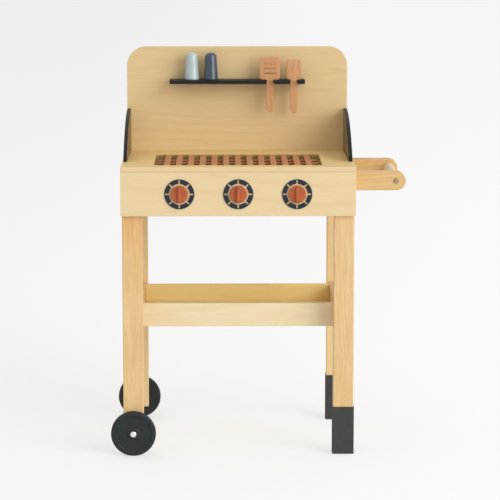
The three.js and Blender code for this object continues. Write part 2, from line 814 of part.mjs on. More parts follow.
const group = new THREE.Group();
group.add(buildLegs(), buildTray(), buildBox(), buildSplash());
group.add(buildShelf(), buildKnobs(), buildWheels(), buildHandle());

// The origin is on the ground, below the middle of the whole object's box
const leftReach = axleX - wheelRadius;
const hubReach = wheelThick + seam + hubCapDepth;
const frontReach = Math.min(-play - knobDepth - knobRidgeDepth, frontWheelFace - hubReach);
const backReach = backWheelFace + hubReach;
group.position.set(-(leftReach + armEnd) / 2, -(frontReach + backReach) / 2, 0);

export default group;
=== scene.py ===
"""Wooden toy barbecue grill: the shape and finish of every piece, the studio and the camera, in metres.

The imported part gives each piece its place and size. +Z is up, the front faces -Y, and left and right are
as seen from the front.
"""

import itertools
import math

import bmesh
import bpy
from mathutils import Matrix, Vector


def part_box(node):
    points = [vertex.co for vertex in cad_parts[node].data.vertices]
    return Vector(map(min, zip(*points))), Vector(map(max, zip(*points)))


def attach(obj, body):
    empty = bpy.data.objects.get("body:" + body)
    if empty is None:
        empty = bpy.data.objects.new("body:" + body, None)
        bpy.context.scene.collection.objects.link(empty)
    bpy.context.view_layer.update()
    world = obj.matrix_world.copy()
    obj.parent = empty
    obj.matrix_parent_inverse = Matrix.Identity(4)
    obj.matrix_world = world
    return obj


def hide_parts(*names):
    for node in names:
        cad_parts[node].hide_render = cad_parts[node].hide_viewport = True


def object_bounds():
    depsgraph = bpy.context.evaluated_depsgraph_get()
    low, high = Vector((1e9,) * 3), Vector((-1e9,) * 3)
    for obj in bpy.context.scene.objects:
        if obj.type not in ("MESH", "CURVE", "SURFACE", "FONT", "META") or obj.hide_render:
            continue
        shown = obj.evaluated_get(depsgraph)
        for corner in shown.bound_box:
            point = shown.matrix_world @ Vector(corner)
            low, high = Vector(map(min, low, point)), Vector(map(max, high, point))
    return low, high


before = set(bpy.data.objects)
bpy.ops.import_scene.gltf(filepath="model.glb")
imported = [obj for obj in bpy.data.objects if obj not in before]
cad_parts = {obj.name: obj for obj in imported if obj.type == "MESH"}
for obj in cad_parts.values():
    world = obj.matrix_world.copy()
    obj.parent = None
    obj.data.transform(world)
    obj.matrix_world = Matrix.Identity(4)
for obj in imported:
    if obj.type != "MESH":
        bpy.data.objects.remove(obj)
packed_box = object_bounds()

MM = 0.001
X, Y, Z = range(3)
UNIT = (Vector((1, 0, 0)), Vector((0, 1, 0)), Vector((0, 0, 1)))
STAND = "stand"
SIDES = {"left": -1, "right": 1}
ENDS = {"front": -1, "back": 1}
LEVELS = ("lower", "upper")
KNOB_PLACES = ("left", "middle", "right")

# Corners nearer than this are one corner, and angles nearer than this are one angle
WELD = 0.001 * MM
SAME_ANGLE = math.radians(0.05)
# How nearly a face has to look along an axis to count as looking along it
SQUARE_ON = 0.95
# Edges whose faces turn by more than this are rounded
SHARP = math.radians(32)
# How far large faces rule the shading over the narrow ones round them, where 50 favours neither
FLAT_FACE_WEIGHT = 100

# Steps of a quarter round: the fewest, and those of a radius of 1 mm, which grow with the radius's root
FEWEST_ARC_STEPS = 4
ARC_FINENESS = 2.2
# Steps of a whole turn
TURNED_STEPS = 64
WHEEL_STEPS = 96
HUB_STEPS = 48
FASTENER_STEPS = 24

# Softness of the edges, and the steps across it
TIMBER_EDGE = 2 * MM
PLY_EDGE = 0.6 * MM
PAINTED_EDGE = 0.8 * MM
FOOT_CAP_EDGE = 0.3 * MM
GRATE_EDGE = 1.4 * MM
UTENSIL_EDGE = 0.75 * MM
SHAKER_EDGE = 1.2 * MM
KNOB_EDGE = 1.6 * MM
DIAL_EDGE = 0.35 * MM
WHEEL_EDGE = 0.5 * MM
AXLE_EDGE = 0.8 * MM
WASHER_EDGE = 0.2 * MM
GRIP_EDGE = 1.5 * MM
EDGE_SEGMENTS = 3
FINE_EDGE_SEGMENTS = 2
FULL_EDGE_SEGMENTS = 4
WHEEL_SHOULDER_SEGMENTS = 6

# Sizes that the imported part's boxes don't give by themselves
PANEL_CORNER = 36 * MM
WELL_MARGIN_SIDE = 59.5 * MM
WELL_SETBACK = 32 * MM
WELL_DEPTH = 180 * MM
WELL_CORNER = 4 * MM
GRATE_BARS = 13
GRATE_PITCH = 21.6 * MM
GRATE_BAR_WIDTH = 11 * MM
GRATE_CROSS_BARS = 3
GRATE_CROSS_WIDTH = 9 * MM
GRATE_CROSS_HEIGHT = 3.5 * MM
GRATE_BITE = 1 * MM
WING_NOSE = 10 * MM
WING_BULGE = 17 * MM
WING_TAB_DROP = 6.25 * MM
WING_TAB_LENGTH = 20 * MM
WING_TAB_REACH = 55 * MM
WING_CURVE_STEPS = 16
SEAM = 0.25 * MM
PLY_PAIR = 2.8 * MM
FEWEST_PLIES = 3
SHELF_CORNER = 3 * MM
SHELF_SLOT_RADIUS = 7.5 * MM
SHELF_SLOT_DEPTH = 30 * MM
UTENSIL_HANDLE = 13 * MM
UTENSIL_CORNER = 5 * MM
SPATULA_HEAD = 42 * MM
SPATULA_SLOTS = 3
SPATULA_SLOT_PITCH = 9 * MM
SPATULA_SLOT_WIDTH = 22 * MM
SPATULA_SLOT_HEIGHT = 2.5 * MM
FORK_HEAD = 38 * MM
FORK_TINES = 3
FORK_TINE_GAP = 3.5 * MM
FORK_TINE_LENGTH = 18 * MM
SHAKER_NECK_RADIUS = 11 * MM
SHAKER_NECK_HEIGHT = 44 * MM
SHAKER_DOME_STEPS = 10
KNOB_BODY_DEPTH = 8 * MM
KNOB_RIDGE_WIDTH = 5.5 * MM
KNOB_RIDGE_INSET = 2.5 * MM
DIAL_HOLE_RADIUS = 19 * MM
DIAL_NOTCH_RADIUS = 25.5 * MM
DIAL_NOTCH_WIDTH = 3 * MM
DIAL_NOTCHES = 8
DIAL_NOTCH_STEPS = 2
DIAL_ARC_STEPS = 12
WHEEL_SHOULDER = 3.2 * MM
WHEEL_RIM = 8 * MM
WHEEL_DISH = 1.5 * MM
AXLE_BORE = 4.35 * MM
WASHER_RADIUS = 10 * MM
HUB_CAP_BORE = 4.25 * MM
HUB_CAP_WALL = 1.25 * MM
HUB_CAP_DOME_SHARE = 0.45
HUB_CAP_DOME_STEPS = 8
FOOT_CAP_WALL = 1 * MM
FOOT_CAP_SOLE = 5 * MM
ARM_END_RADIUS = 17.25 * MM

# A fastener's head, in shares of its radius, or of its height where the name says drop or depth
RECESS_ARM_SHARE = 0.55
RECESS_WIDTH_SHARE = 0.22
HEXAGON_SHARE = 0.5
HEXAGON_SIDES = 6
CROWN_SHARE = 0.68
SHOULDER_SHARE = 0.9
SHOULDER_DROP_SHARE = 0.22
RIM_DROP_SHARE = 0.6
RECESS_DEPTH_SHARE = 0.6
RECESS_SLOPE_SHARE = 0.04
HEAD_EDGE_SHARE = 0.04


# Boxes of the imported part


def size_of(node):
    """How far a node's box reaches along each axis."""
    low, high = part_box(node)
    return high - low


def middle_of(node):
    """The middle of a node's box."""
    low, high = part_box(node)
    return (low + high) / 2


def end_of(node, along, outward):
    """The middle of one end of a node's box: the one that looks outward along an axis, at -1 or 1."""
    low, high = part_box(node)
    place = (low + high) / 2
    place[along] = high[along] if outward > 0 else low[along]
    return place


def long_axis(node):
    """The axis along which a node is longest."""
    return max((X, Y, Z), key=lambda axis: size_of(node)[axis])


def thin_axis(node):
    """The axis along which a node is thinnest."""
    return min((X, Y, Z), key=lambda axis: size_of(node)[axis])


def plane_axes(across):
    """The two axes of the plane that lies square to an axis."""
    return [axis for axis in (X, Y, Z) if axis != across]


def round_size(node, along=Y):
    """The radius and the length of a round piece that lies along an axis."""
    size = size_of(node)
    return size[plane_axes(along)[0]] / 2, size[along]


def spread(count, pitch):
    """A row of places with a pitch, as many on one side of zero as on the other."""
    return [(i - (count - 1) / 2) * pitch for i in range(count)]


# Outlines: corners (a, b, radius) in the plane square to an axis


def rectangle(low, high, across, radii=(0, 0, 0, 0)):
    """The corners of a rectangle between two points, from the lowest one round."""
    a, b = plane_axes(across)
    places = ((low[a], low[b]), (high[a], low[b]), (high[a], high[b]), (low[a], high[b]))
    return [(*place, radius) for place, radius in zip(places, radii)]


def notch(start, end, mouth, floor):
    """The corners of a notch with a round floor, from one side of its mouth to the other."""
    radius = abs(end - start) / 2
    return [(start, mouth, 0), (start, floor, radius), (end, floor, radius), (end, mouth, 0)]


# Meshes


def cuboid(bm, low, high):
    """A box between two corners."""
    verts = bmesh.ops.create_cube(bm, size=1)["verts"]
    low, high = Vector(low), Vector(high)
    bmesh.ops.scale(bm, vec=high - low, verts=verts)
    bmesh.ops.translate(bm, vec=(low + high) / 2, verts=verts)


def arc_steps(radius):
    """Steps of a quarter round, finer on a larger one."""
    return max(FEWEST_ARC_STEPS, round(math.sqrt(radius / MM) * ARC_FINENESS))


def outline(bm, corners, across, start):
    """A flat face on an outline's corners, each rounded to its radius."""
    a_axis, b_axis = plane_axes(across)
    radii = {}
    for a, b, radius in corners:
        place = UNIT[a_axis] * a + UNIT[b_axis] * b + UNIT[across] * start
        radii[bm.verts.new(place)] = radius
    bm.faces.new(radii)
    for radius in sorted(set(radii.values()) - {0}):
        bmesh.ops.bevel(
            bm,
            geom=[vert for vert, own in radii.items() if own == radius],
            offset=radius,
            affect="VERTICES",
            segments=arc_steps(radius),
            profile=0.5,
            material=-1,
        )
    bmesh.ops.remove_doubles(bm, verts=bm.verts, dist=WELD)


def move_corners(bm, made, way):
    """Moves the corners of what an extrusion has made."""
    verts = [item for item in made["geom"] if isinstance(item, bmesh.types.BMVert)]
    bmesh.ops.translate(bm, vec=way, verts=verts)


def extruded(bm, faces, way):
    """Extrudes faces by a way; the ones they start from stay."""
    move_corners(bm, bmesh.ops.extrude_face_region(bm, geom=faces), way)


def thicken(bm, across, depth):
    """Makes a flat face a plate."""
    extruded(bm, bm.faces[:], UNIT[across] * depth)
    bmesh.ops.recalc_face_normals(bm, faces=bm.faces)


def plate(bm, corners, across, start, end):
    """A plate on an outline, from one place along an axis to another."""
    outline(bm, corners, across, start)
    thicken(bm, across, end - start)


def pierced_plate(bm, outer, holes, across, start, end, pockets=()):
    """A plate with holes right through it; each pocket is marked on it as a face of its own."""
    for corners in (outer, *holes):
        outline(bm, corners, across, start)
    bmesh.ops.delete(bm, geom=bm.faces[:], context="FACES_ONLY")
    for corners in pockets:
        outline(bm, corners, across, start)
    bmesh.ops.triangle_fill(bm, use_beauty=True, edges=bm.edges[:])
    thicken(bm, across, end - start)


def pushed_in(bm, faces, way):
    """Moves faces inwards, with walls round the pocket that this leaves."""
    extruded(bm, faces, way)
    bmesh.ops.delete(bm, geom=faces, context="FACES")
    bmesh.ops.recalc_face_normals(bm, faces=bm.faces)


def turned(bm, profile, steps=TURNED_STEPS, closed=True):
    """Turns a closed or open chain of (radius, height) points round Z, without its edges on the axis."""
    verts = [bm.verts.new((radius, 0, height)) for radius, height in profile]
    following = verts[1:] + verts[:1] if closed else verts[1:]
    pairs = [pair for pair in zip(verts, following) if any(vert.co.x > 0 for vert in pair)]
    edges = [bm.edges.new(pair) for pair in pairs]
    bmesh.ops.spin(
        bm, geom=verts + edges, axis=UNIT[Z], cent=(0, 0, 0), angle=math.tau, steps=steps, use_merge=True
    )
    bmesh.ops.remove_doubles(bm, verts=bm.verts, dist=WELD)
    bmesh.ops.recalc_face_normals(bm, faces=bm.faces)


def dome(radius, foot, rise, steps):
    """The points of a quarter ellipse from a wall up to the axis, without its two ends."""
    angles = [math.pi / 2 * i / steps for i in range(1, steps)]
    return [(radius * math.cos(angle), foot + rise * math.sin(angle)) for angle in angles]


def sharp_edges(bm):
    """The edges between two faces that meet at a sharp angle."""
    return [e for e in bm.edges if len(e.link_faces) == 2 and e.calc_face_angle() > SHARP]


def rounded(bm, edges, radius, segments):
    """Rounds edges to a radius."""
    bmesh.ops.bevel(
        bm, geom=edges, offset=radius, affect="EDGES", segments=segments, profile=0.5, material=-1
    )


def soften(bm, radius, segments=EDGE_SEGMENTS):
    """Rounds every sharp edge."""
    rounded(bm, sharp_edges(bm), radius, segments)


def mark_edges(bm, across):
    """Gives the second finish to every face that doesn't lie square to an axis: the edges of a board."""
    for face in bm.faces:
        face.material_index = 0 if abs(face.normal[across]) > SQUARE_ON else 1


def lay(bm, along, place, outward=1):
    """Turns what stands on Z outwards along an axis, and moves it to its place."""
    turn = UNIT[Z].rotation_difference(UNIT[along] * outward).to_matrix().to_4x4()
    bmesh.ops.transform(bm, matrix=Matrix.Translation(place) @ turn, verts=bm.verts)


def in_scene(name, content):
    """An object in the scene that holds a mesh, a lamp or a lens."""
    holder = bpy.data.objects.new(name, content)
    bpy.context.scene.collection.objects.link(holder)
    return holder


def mesh_object(name, bm, finishes):
    """An object in the scene made of a mesh with its finishes."""
    mesh = bpy.data.meshes.new(name)
    bm.to_mesh(mesh)
    bm.free()
    for finish in finishes:
        mesh.materials.append(finish)
    return in_scene(name, mesh)


def finished(name, bm, body, slot, finishes, *nodes):
    """Makes a piece of a mesh: its finishes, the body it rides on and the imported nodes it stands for."""
    piece = mesh_object(name, bm, finishes)
    piece.data.shade_smooth()
    shading = piece.modifiers.new("flat faces stay flat", "WEIGHTED_NORMAL")
    shading.weight = FLAT_FACE_WEIGHT
    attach(piece, body)
    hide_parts(*nodes)


# Finishes

COAT_ROUGHNESS = 0.12
# The stretch of a pattern over which the roughness follows it
ROUGHNESS_PATTERN_ENDS = (0.3, 0.7)
# The sockets of a node that mixes colours: the factor and the two colours, and the result
COLOUR_MIX_INPUTS = (0, 6, 7)
COLOUR_MIX_RESULT = 2


def light_of(share):
    """The standard curve from a colour chart's share of white to its light."""
    return share / 12.92 if share <= 0.04045 else ((share + 0.055) / 1.055) ** 2.4


def colour(red, green, blue):
    """A colour of a paint chart, 0 to 255 a channel, as linear light."""
    return (*[light_of(value / 255) for value in (red, green, blue)], 1)


def grey(level):
    """A grey, by its light."""
    return (level, level, level, 1)


class Nodes:
    """The nodes of a material or of the room: adds them and joins them up."""

    def __init__(self, owner):
        owner.use_nodes = True
        self.tree = owner.node_tree

    def feed(self, socket, value):
        """Links a socket to another node's output, or sets it to a value."""
        if isinstance(value, bpy.types.NodeSocket):
            self.tree.links.new(value, socket)
        else:
            socket.default_value = value

    def add(self, kind, settings=None, **inputs):
        """A node with its settings, and its inputs by name."""
        node = self.tree.nodes.new("ShaderNode" + kind)
        for key, value in (settings or {}).items():
            setattr(node, key, value)
        for key, value in inputs.items():
            self.feed(node.inputs[key.replace("_", " ")], value)
        return node

    def add_in_order(self, kind, *values, settings=None):
        """The result of a node with its inputs in their order."""
        node = self.add(kind, settings)
        for socket, value in zip(node.inputs, values):
            self.feed(socket, value)
        return node.outputs[0]

    def maths(self, operation, first, second):
        """The result of an operation on two values."""
        return self.add_in_order("Math", first, second, settings={"operation": operation})

    def weighed(self, pattern, weight):
        """A pattern times its weight."""
        return self.maths("MULTIPLY", pattern, weight)

    def to_and_fro(self, pattern, turn):
        """A pattern that goes up to its turn and back to zero, again and again."""
        return self.maths("PINGPONG", pattern, turn)

    def between(self, value, low, high, to_low=0.0, to_high=1.0, fade="LINEAR"):
        """Maps the stretch between two values to another, and stays within that."""
        settings = {"clamp": True, "interpolation_type": fade}
        ends = {"From_Min": low, "From_Max": high, "To_Min": to_low, "To_Max": to_high}
        return self.add("MapRange", settings, Value=value, **ends).outputs[0]


class Finish(Nodes):
    """A surface's material, with its patterns on the object's own coordinates."""

    def __init__(self, name, roughness, metallic=0.0, coat=0.0, gloss=0.5):
        self.material = bpy.data.materials.new(name)
        super().__init__(self.material)
        self.roughness = roughness
        self.shader = self.tree.nodes["Principled BSDF"].inputs
        self.shader["Roughness"].default_value = roughness
        self.shader["Metallic"].default_value = metallic
        self.shader["Coat Weight"].default_value = coat
        self.shader["Coat Roughness"].default_value = COAT_ROUGHNESS
        self.shader["Specular IOR Level"].default_value = gloss
        self.place = self.add("TexCoord").outputs["Object"]

    def moved(self, shift=(0, 0, 0), turn=(0, 0, 0), stretch=(1, 1, 1), source=None):
        """Coordinates that are stretched, turned and moved."""
        source = source or self.place
        return self.add("Mapping", Vector=source, Location=shift, Rotation=turn, Scale=stretch).outputs[0]

    def drawn_out(self, share, source=None, axis=Z):
        """Coordinates that draw a pattern out along an axis, where this share of its repeats is left."""
        stretch = [1, 1, 1]
        stretch[axis] = share
        return self.moved(stretch=stretch, source=source)

    def along_axis(self, axis):
        """How far along an axis a point lies."""
        return self.add("SeparateXYZ", Vector=self.place).outputs[axis]

    def noise(self, vector, scale, detail=3.0, roughness=0.55, distortion=0.0):
        """A cloudy pattern, with its scale in repeats a metre."""
        pattern = {"Scale": scale, "Detail": detail, "Roughness": roughness, "Distortion": distortion}
        return self.add("TexNoise", Vector=vector, **pattern).outputs["Fac"]

    def mix(self, factor, first, second):
        """From the first colour to the second as the factor goes from 0 to 1."""
        node = self.add("Mix", {"data_type": "RGBA"})
        for socket, value in zip(COLOUR_MIX_INPUTS, (factor, first, second)):
            self.feed(node.inputs[socket], value)
        return node.outputs[COLOUR_MIX_RESULT]

    def vary_roughness(self, pattern, smoother, rougher):
        """Lets the roughness follow a pattern, from a bit smoother to a bit rougher."""
        ends = (self.roughness - smoother, self.roughness + rougher)
        self.feed(self.shader["Roughness"], self.between(pattern, *ROUGHNESS_PATTERN_ENDS, *ends))

    def bump(self, height, strength, distance):
        """Raises and sinks the surface by a pattern."""
        relief = self.add("Bump", Height=height, Strength=strength, Distance=distance)
        self.feed(self.shader["Normal"], relief.outputs[0])

    def done(self, base):
        """Gives the material its colour."""
        self.feed(self.shader["Base Color"], base)
        return self.material


# Wood: each tone is its early wood, its late wood and its pores
BEECH = (colour(246, 215, 161), colour(228, 185, 124), colour(174, 122, 70))
# A paler copy of the beech for the back legs: painted light, making up for the shade that the box and tray
# cast on them
BACK_LEG_BEECH_PAINTED_LIGHT = (colour(254, 227, 174), colour(241, 202, 142), colour(192, 142, 86))
# A paler beech for the grip: partly its own paler wood, partly a painted highlight
GRIP_BEECH_PAINTED_HIGHLIGHT = (colour(252, 234, 204), colour(240, 212, 172), colour(196, 154, 108))
RIPE_BEECH = colour(228, 170, 100)
ARM_BEECH = (colour(236, 199, 138), colour(214, 166, 102), colour(160, 108, 58))
PALE_PLY = (colour(242, 219, 174), colour(234, 207, 157), colour(198, 160, 110))
# Darker and warmer than the front panel's plywood: painted shade, standing in for the dimmer, warm bounce
# light behind the worktop between the wings
PANEL_PLY_PAINTED_SHADE = (colour(233, 206, 154), colour(225, 194, 138), colour(190, 151, 97))
# Brighter and more orange than the other plywood: painted light on the worktop's top, standing in for light
# from above
WORKTOP_PLY_PAINTED_LIGHT = (colour(252, 222, 158), colour(243, 204, 134), colour(194, 144, 84))
# Brighter and more saturated: painted light in the tray, making up for the shade under the box
TRAY_PLY_PAINTED_LIGHT = (colour(255, 233, 168), colour(251, 220, 146), colour(212, 166, 100))
# Paler: painted light on the tray's front rail, making up for the shade that the right front leg casts on
# it
RAIL_PLY_PAINTED_LIGHT = (colour(248, 229, 188), colour(240, 217, 172), colour(204, 168, 122))
UTENSIL_WOOD = (colour(221, 167, 117), colour(203, 142, 92), colour(156, 96, 56))
TIMBER_ROUGHNESS = 0.46
VENEER_ROUGHNESS = 0.44
UTENSIL_ROUGHNESS = 0.55
PLY_EDGE_ROUGHNESS = 0.62
PLY_WAVINESS = 0.25
LEFT_LEG_RIPE = (290 * MM, 470 * MM)
GRAIN_TURNS = {X: (0, -math.pi / 2, 0), Y: (math.pi / 2, 0, 0), Z: (0, 0, 0)}

# Each board comes from a place of its own along the log, and its heart lies at another place beside it
BOARD_NUMBERS = itertools.count(1)
BOARD_SPACING = 370 * MM
HEART_DISTANCE = 50 * MM
HEART_STEP = 13 * MM
HEART_STEPS = 5
HEART_SWAY = 30 * MM
HEART_SWAY_ANGLE = 2.3

# Growth rings, and how much the log leans, which draws them out into arches on a board's faces
LOG_LEAN = (0.05, 0.035, 0)
RING_KIND = {"wave_type": "RINGS", "rings_direction": "Z", "wave_profile": "SAW"}
RING_PATTERN = {
    "Scale": 62.0,
    "Distortion": 2.2,
    "Detail": 2.0,
    "Detail_Scale": 26.0,
    "Detail_Roughness": 0.5,
}

RING_SHARPNESS = 3.0

# How deep the patterns lie in a surface
TIMBER_RELIEF = 0.12 * MM
VENEER_RELIEF = 0.1 * MM
PAINT_RELIEF = 0.12 * MM
RUBBER_RELIEF = 0.12 * MM
METAL_RELIEF = 0.02 * MM


def grain_place(finish, along, centre):
    """Coordinates whose Z runs along the grain, from a place of the board's own in the log."""
    number = next(BOARD_NUMBERS)
    heart = (
        HEART_DISTANCE + HEART_STEP * (number % HEART_STEPS),
        HEART_SWAY * math.sin(HEART_SWAY_ANGLE * number),
        BOARD_SPACING * number,
    )
    centred = finish.moved(shift=-centre)
    return finish.moved(shift=heart, turn=GRAIN_TURNS[along], source=centred)


def timber(name, tone, along, centre, roughness=TIMBER_ROUGHNESS, ripe=None):
    """Solid wood: growth rings round a heart beside the board, streaks, short pores and a satin lacquer.

    Between the two heights of ripe, if given, it turns to the warmer wood of the heart.
    """
    early, late, pore = tone
    finish = Finish(name, roughness)
    log = grain_place(finish, along, centre)
    grain = finish.drawn_out(share=0.07, source=finish.moved(turn=LOG_LEAN, source=log))
    rings = finish.add("TexWave", RING_KIND, Vector=grain, **RING_PATTERN).outputs["Fac"]
    streaks = finish.noise(grain, scale=150.0, detail=5.0, roughness=0.62)
    clouds = finish.noise(grain, scale=16.0, detail=2.0)
    fine = finish.noise(finish.drawn_out(share=0.035, source=log), scale=1500.0, detail=2.0, roughness=0.5)
    pores = finish.between(fine, low=0.6, high=0.72)
    ring_tone = finish.weighed(finish.maths("POWER", rings, RING_SHARPNESS), weight=0.34)
    streak_tone = finish.between(streaks, low=0.36, high=0.7, to_high=0.55)
    cloud_tone = finish.between(clouds, low=0.35, high=0.65, to_high=0.28)
    wood_tone = finish.maths("ADD", ring_tone, finish.maths("ADD", streak_tone, cloud_tone))
    wood = finish.mix(wood_tone, early, late)
    if ripe:
        rise = finish.between(finish.along_axis(Z), *ripe)
        patches = finish.between(streaks, low=0.3, high=0.6, to_low=0.35)
        wood = finish.mix(finish.maths("MULTIPLY", rise, patches), wood, RIPE_BEECH)
    wood = finish.mix(finish.weighed(pores, weight=0.3), wood, pore)
    finish.vary_roughness(streaks, smoother=0.06, rougher=0.08)
    pits = finish.weighed(pores, weight=0.6)
    relief = finish.maths("SUBTRACT", finish.weighed(streaks, weight=0.5), pits)
    finish.bump(relief, strength=0.25, distance=TIMBER_RELIEF)
    return finish.done(wood)


def veneer(name, tone, along, centre):
    """The face of plywood: peeled veneer with a wavy figure, streaks, short flecks and a satin lacquer."""
    early, late, pore = tone
    finish = Finish(name, VENEER_ROUGHNESS)
    log = grain_place(finish, along, centre)
    grain = finish.drawn_out(share=0.1, source=log)
    contour = finish.noise(grain, scale=9.0, detail=1.5, roughness=0.4, distortion=0.3)
    figure = finish.to_and_fro(finish.weighed(contour, weight=14.0), turn=0.5)
    streaks = finish.noise(grain, scale=230.0, detail=5.0, roughness=0.65)
    clouds = finish.noise(grain, scale=6.0, detail=2.0)
    fine = finish.noise(finish.drawn_out(share=0.05, source=log), scale=1300.0, detail=2.0, roughness=0.5)
    flecks = finish.between(fine, low=0.62, high=0.74)
    figure_tone = finish.between(figure, low=0.3, high=0.5, to_high=0.4)
    streak_tone = finish.between(streaks, low=0.35, high=0.7, to_high=0.5)
    cloud_tone = finish.between(clouds, low=0.35, high=0.65, to_high=0.3)
    wood_tone = finish.maths("ADD", finish.maths("ADD", figure_tone, streak_tone), cloud_tone)
    wood = finish.mix(wood_tone, early, late)
    wood = finish.mix(finish.weighed(flecks, weight=0.22), wood, pore)
    finish.vary_roughness(streaks, smoother=0.06, rougher=0.08)
    pits = finish.weighed(flecks, weight=0.6)
    relief = finish.maths("SUBTRACT", finish.weighed(streaks, weight=0.4), pits)
    finish.bump(relief, strength=0.2, distance=VENEER_RELIEF)
    return finish.done(wood)


def ply_edge(name, tone, across, low, high):
    """The edge of a plywood board: an odd number of plies, long grain and end grain by turns."""
    early, late, pore = tone
    plies = max(FEWEST_PLIES, 2 * round((high - low) / PLY_PAIR) + 1)
    finish = Finish(name, PLY_EDGE_ROUGHNESS)
    depth = finish.between(finish.along_axis(across), low, high, to_high=float(plies))
    clouds = finish.noise(finish.place, scale=40.0, detail=2.0)
    waviness = finish.maths("SUBTRACT", finish.weighed(clouds, PLY_WAVINESS), PLY_WAVINESS / 2)
    layer = finish.to_and_fro(finish.maths("ADD", depth, waviness), turn=1.0)
    dark_ply = finish.between(layer, low=0.42, high=0.58)
    fibres = finish.noise(finish.place, scale=900.0, detail=3.0, roughness=0.6)
    long_tone = finish.between(fibres, low=0.35, high=0.7, to_high=0.4)
    end_tone = finish.between(fibres, low=0.35, high=0.7, to_low=0.35, to_high=0.9)
    long_grain = finish.mix(long_tone, early, late)
    end_grain = finish.mix(end_tone, late, pore)
    relief = finish.maths("ADD", fibres, finish.weighed(dark_ply, weight=0.5))
    finish.bump(relief, strength=0.3, distance=VENEER_RELIEF)
    return finish.done(finish.mix(finish.weighed(dark_ply, weight=0.45), long_grain, end_grain))


def paint(name, base, deep, roughness, along=Z, coat=0.0, gloss=0.4):
    """Brushed or sprayed paint on wood: a slight mottle, and the grain just showing in the surface."""
    finish = Finish(name, roughness, coat=coat, gloss=gloss)
    fibres = finish.drawn_out(share=0.06, source=finish.moved(turn=GRAIN_TURNS[along]))
    grain = finish.noise(fibres, scale=420.0, detail=4.0, roughness=0.6)
    mottle = finish.noise(finish.place, scale=55.0, detail=3.0)
    speckle = finish.noise(finish.place, scale=1700.0, detail=2.0)
    mottle_tone = finish.between(mottle, low=0.35, high=0.65, to_high=0.5)
    grain_tone = finish.between(grain, low=0.4, high=0.65, to_high=0.4)
    finish.vary_roughness(mottle, smoother=0.05, rougher=0.07)
    relief = finish.maths("ADD", finish.weighed(grain, weight=0.7), finish.weighed(speckle, weight=0.3))
    finish.bump(relief, strength=0.2, distance=PAINT_RELIEF)
    return finish.done(finish.mix(finish.maths("ADD", mottle_tone, grain_tone), base, deep))


def rubber(name, base, dusty, roughness):
    """Moulded rubber: a fine pebble, and a little dust."""
    finish = Finish(name, roughness, gloss=0.35)
    pebble = finish.noise(finish.place, scale=2200.0, detail=2.0)
    dust = finish.noise(finish.place, scale=60.0, detail=4.0, roughness=0.65)
    finish.vary_roughness(dust, smoother=0.06, rougher=0.1)
    finish.bump(pebble, strength=0.25, distance=RUBBER_RELIEF)
    dust_tone = finish.between(dust, low=0.42, high=0.75, to_high=0.55)
    return finish.done(finish.mix(dust_tone, base, dusty))


def metal(name, base, shade, roughness):
    """Plated steel: faint cloudiness and fine scratches."""
    finish = Finish(name, roughness, metallic=1.0)
    clouds = finish.noise(finish.place, scale=90.0, detail=2.0)
    scratches = finish.noise(finish.drawn_out(share=0.04, axis=Y), scale=3000.0, detail=2.0)
    finish.vary_roughness(scratches, smoother=0.06, rougher=0.08)
    finish.bump(scratches, strength=0.04, distance=METAL_RELIEF)
    return finish.done(finish.mix(finish.between(clouds, low=0.35, high=0.65), base, shade))


NAVY = paint("dark blue-grey paint", colour(22, 25, 31), colour(15, 17, 22), 0.46, gloss=0.28)
DIAL_NAVY = paint("navy dial paint", colour(24, 36, 50), colour(18, 28, 40), 0.4)
TERRACOTTA = paint("terracotta paint", colour(196, 103, 56), colour(172, 85, 45), 0.5)
GRATE_TERRACOTTA = paint("terracotta grate paint", colour(212, 146, 102), colour(190, 122, 82), 0.55, Y)
# The wings' inner faces: a dark olive-brown that is painted shade, darker than the wood round it
OLIVE_PAINTED_SHADE = paint("olive-brown painted shade", colour(138, 115, 70), colour(116, 95, 56), 0.6, Y)
# The well's walls and floor: a dark olive that is painted shade, standing in for the shade between the
# grate's bars
WELL_PAINTED_SHADE = paint("olive painted shade of the well", colour(186, 158, 92), colour(164, 136, 76), 0.6)
PALE_BLUE = paint("pale grey-blue paint", colour(190, 206, 208), colour(174, 192, 195), 0.3, coat=1.0)
SLATE_BLUE = paint("slate-blue paint", colour(48, 66, 88), colour(36, 54, 76), 0.3, coat=1.0)
WHEEL_RUBBER = rubber("wheel rubber", colour(30, 38, 41), colour(48, 56, 58), 0.55)
FOOT_RUBBER = rubber("foot rubber", colour(60, 62, 59), colour(76, 78, 74), 0.62)
ZINC = metal("zinc-plated steel", colour(240, 246, 249), colour(220, 227, 231), 0.3)
ROD_STEEL = metal("drawn steel", colour(206, 209, 211), colour(188, 191, 194), 0.28)
DARK_STEEL = metal("darkened steel", colour(176, 160, 138), colour(140, 126, 108), 0.36)


# Boards and timbers


def timber_bar(node, tone, ripe=None):
    """A square bar of solid wood with rounded edges."""
    bm = bmesh.new()
    cuboid(bm, *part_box(node))
    soften(bm, TIMBER_EDGE)
    wood = timber(node.replace("_", " ") + " wood", tone, long_axis(node), middle_of(node), ripe=ripe)
    finished(node + "_timber", bm, STAND, "beech", [wood], node)


def ply_finishes(node, tone, along=None, edge_tone=None):
    """The face and edge finishes of a plywood board, with the grain along it or as given."""
    low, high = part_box(node)
    across = thin_axis(node)
    words = node.replace("_", " ")
    face = veneer(words + " veneer", tone, long_axis(node) if along is None else along, middle_of(node))
    return [face, ply_edge(words + " plies", edge_tone or tone, across, low[across], high[across])]


def ply_board(node, tone, along=None):
    """A rectangular plywood board."""
    bm = bmesh.new()
    cuboid(bm, *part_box(node))
    mark_edges(bm, thin_axis(node))
    soften(bm, PLY_EDGE)
    finished(node + "_board", bm, STAND, "plywood", ply_finishes(node, tone, along), node)


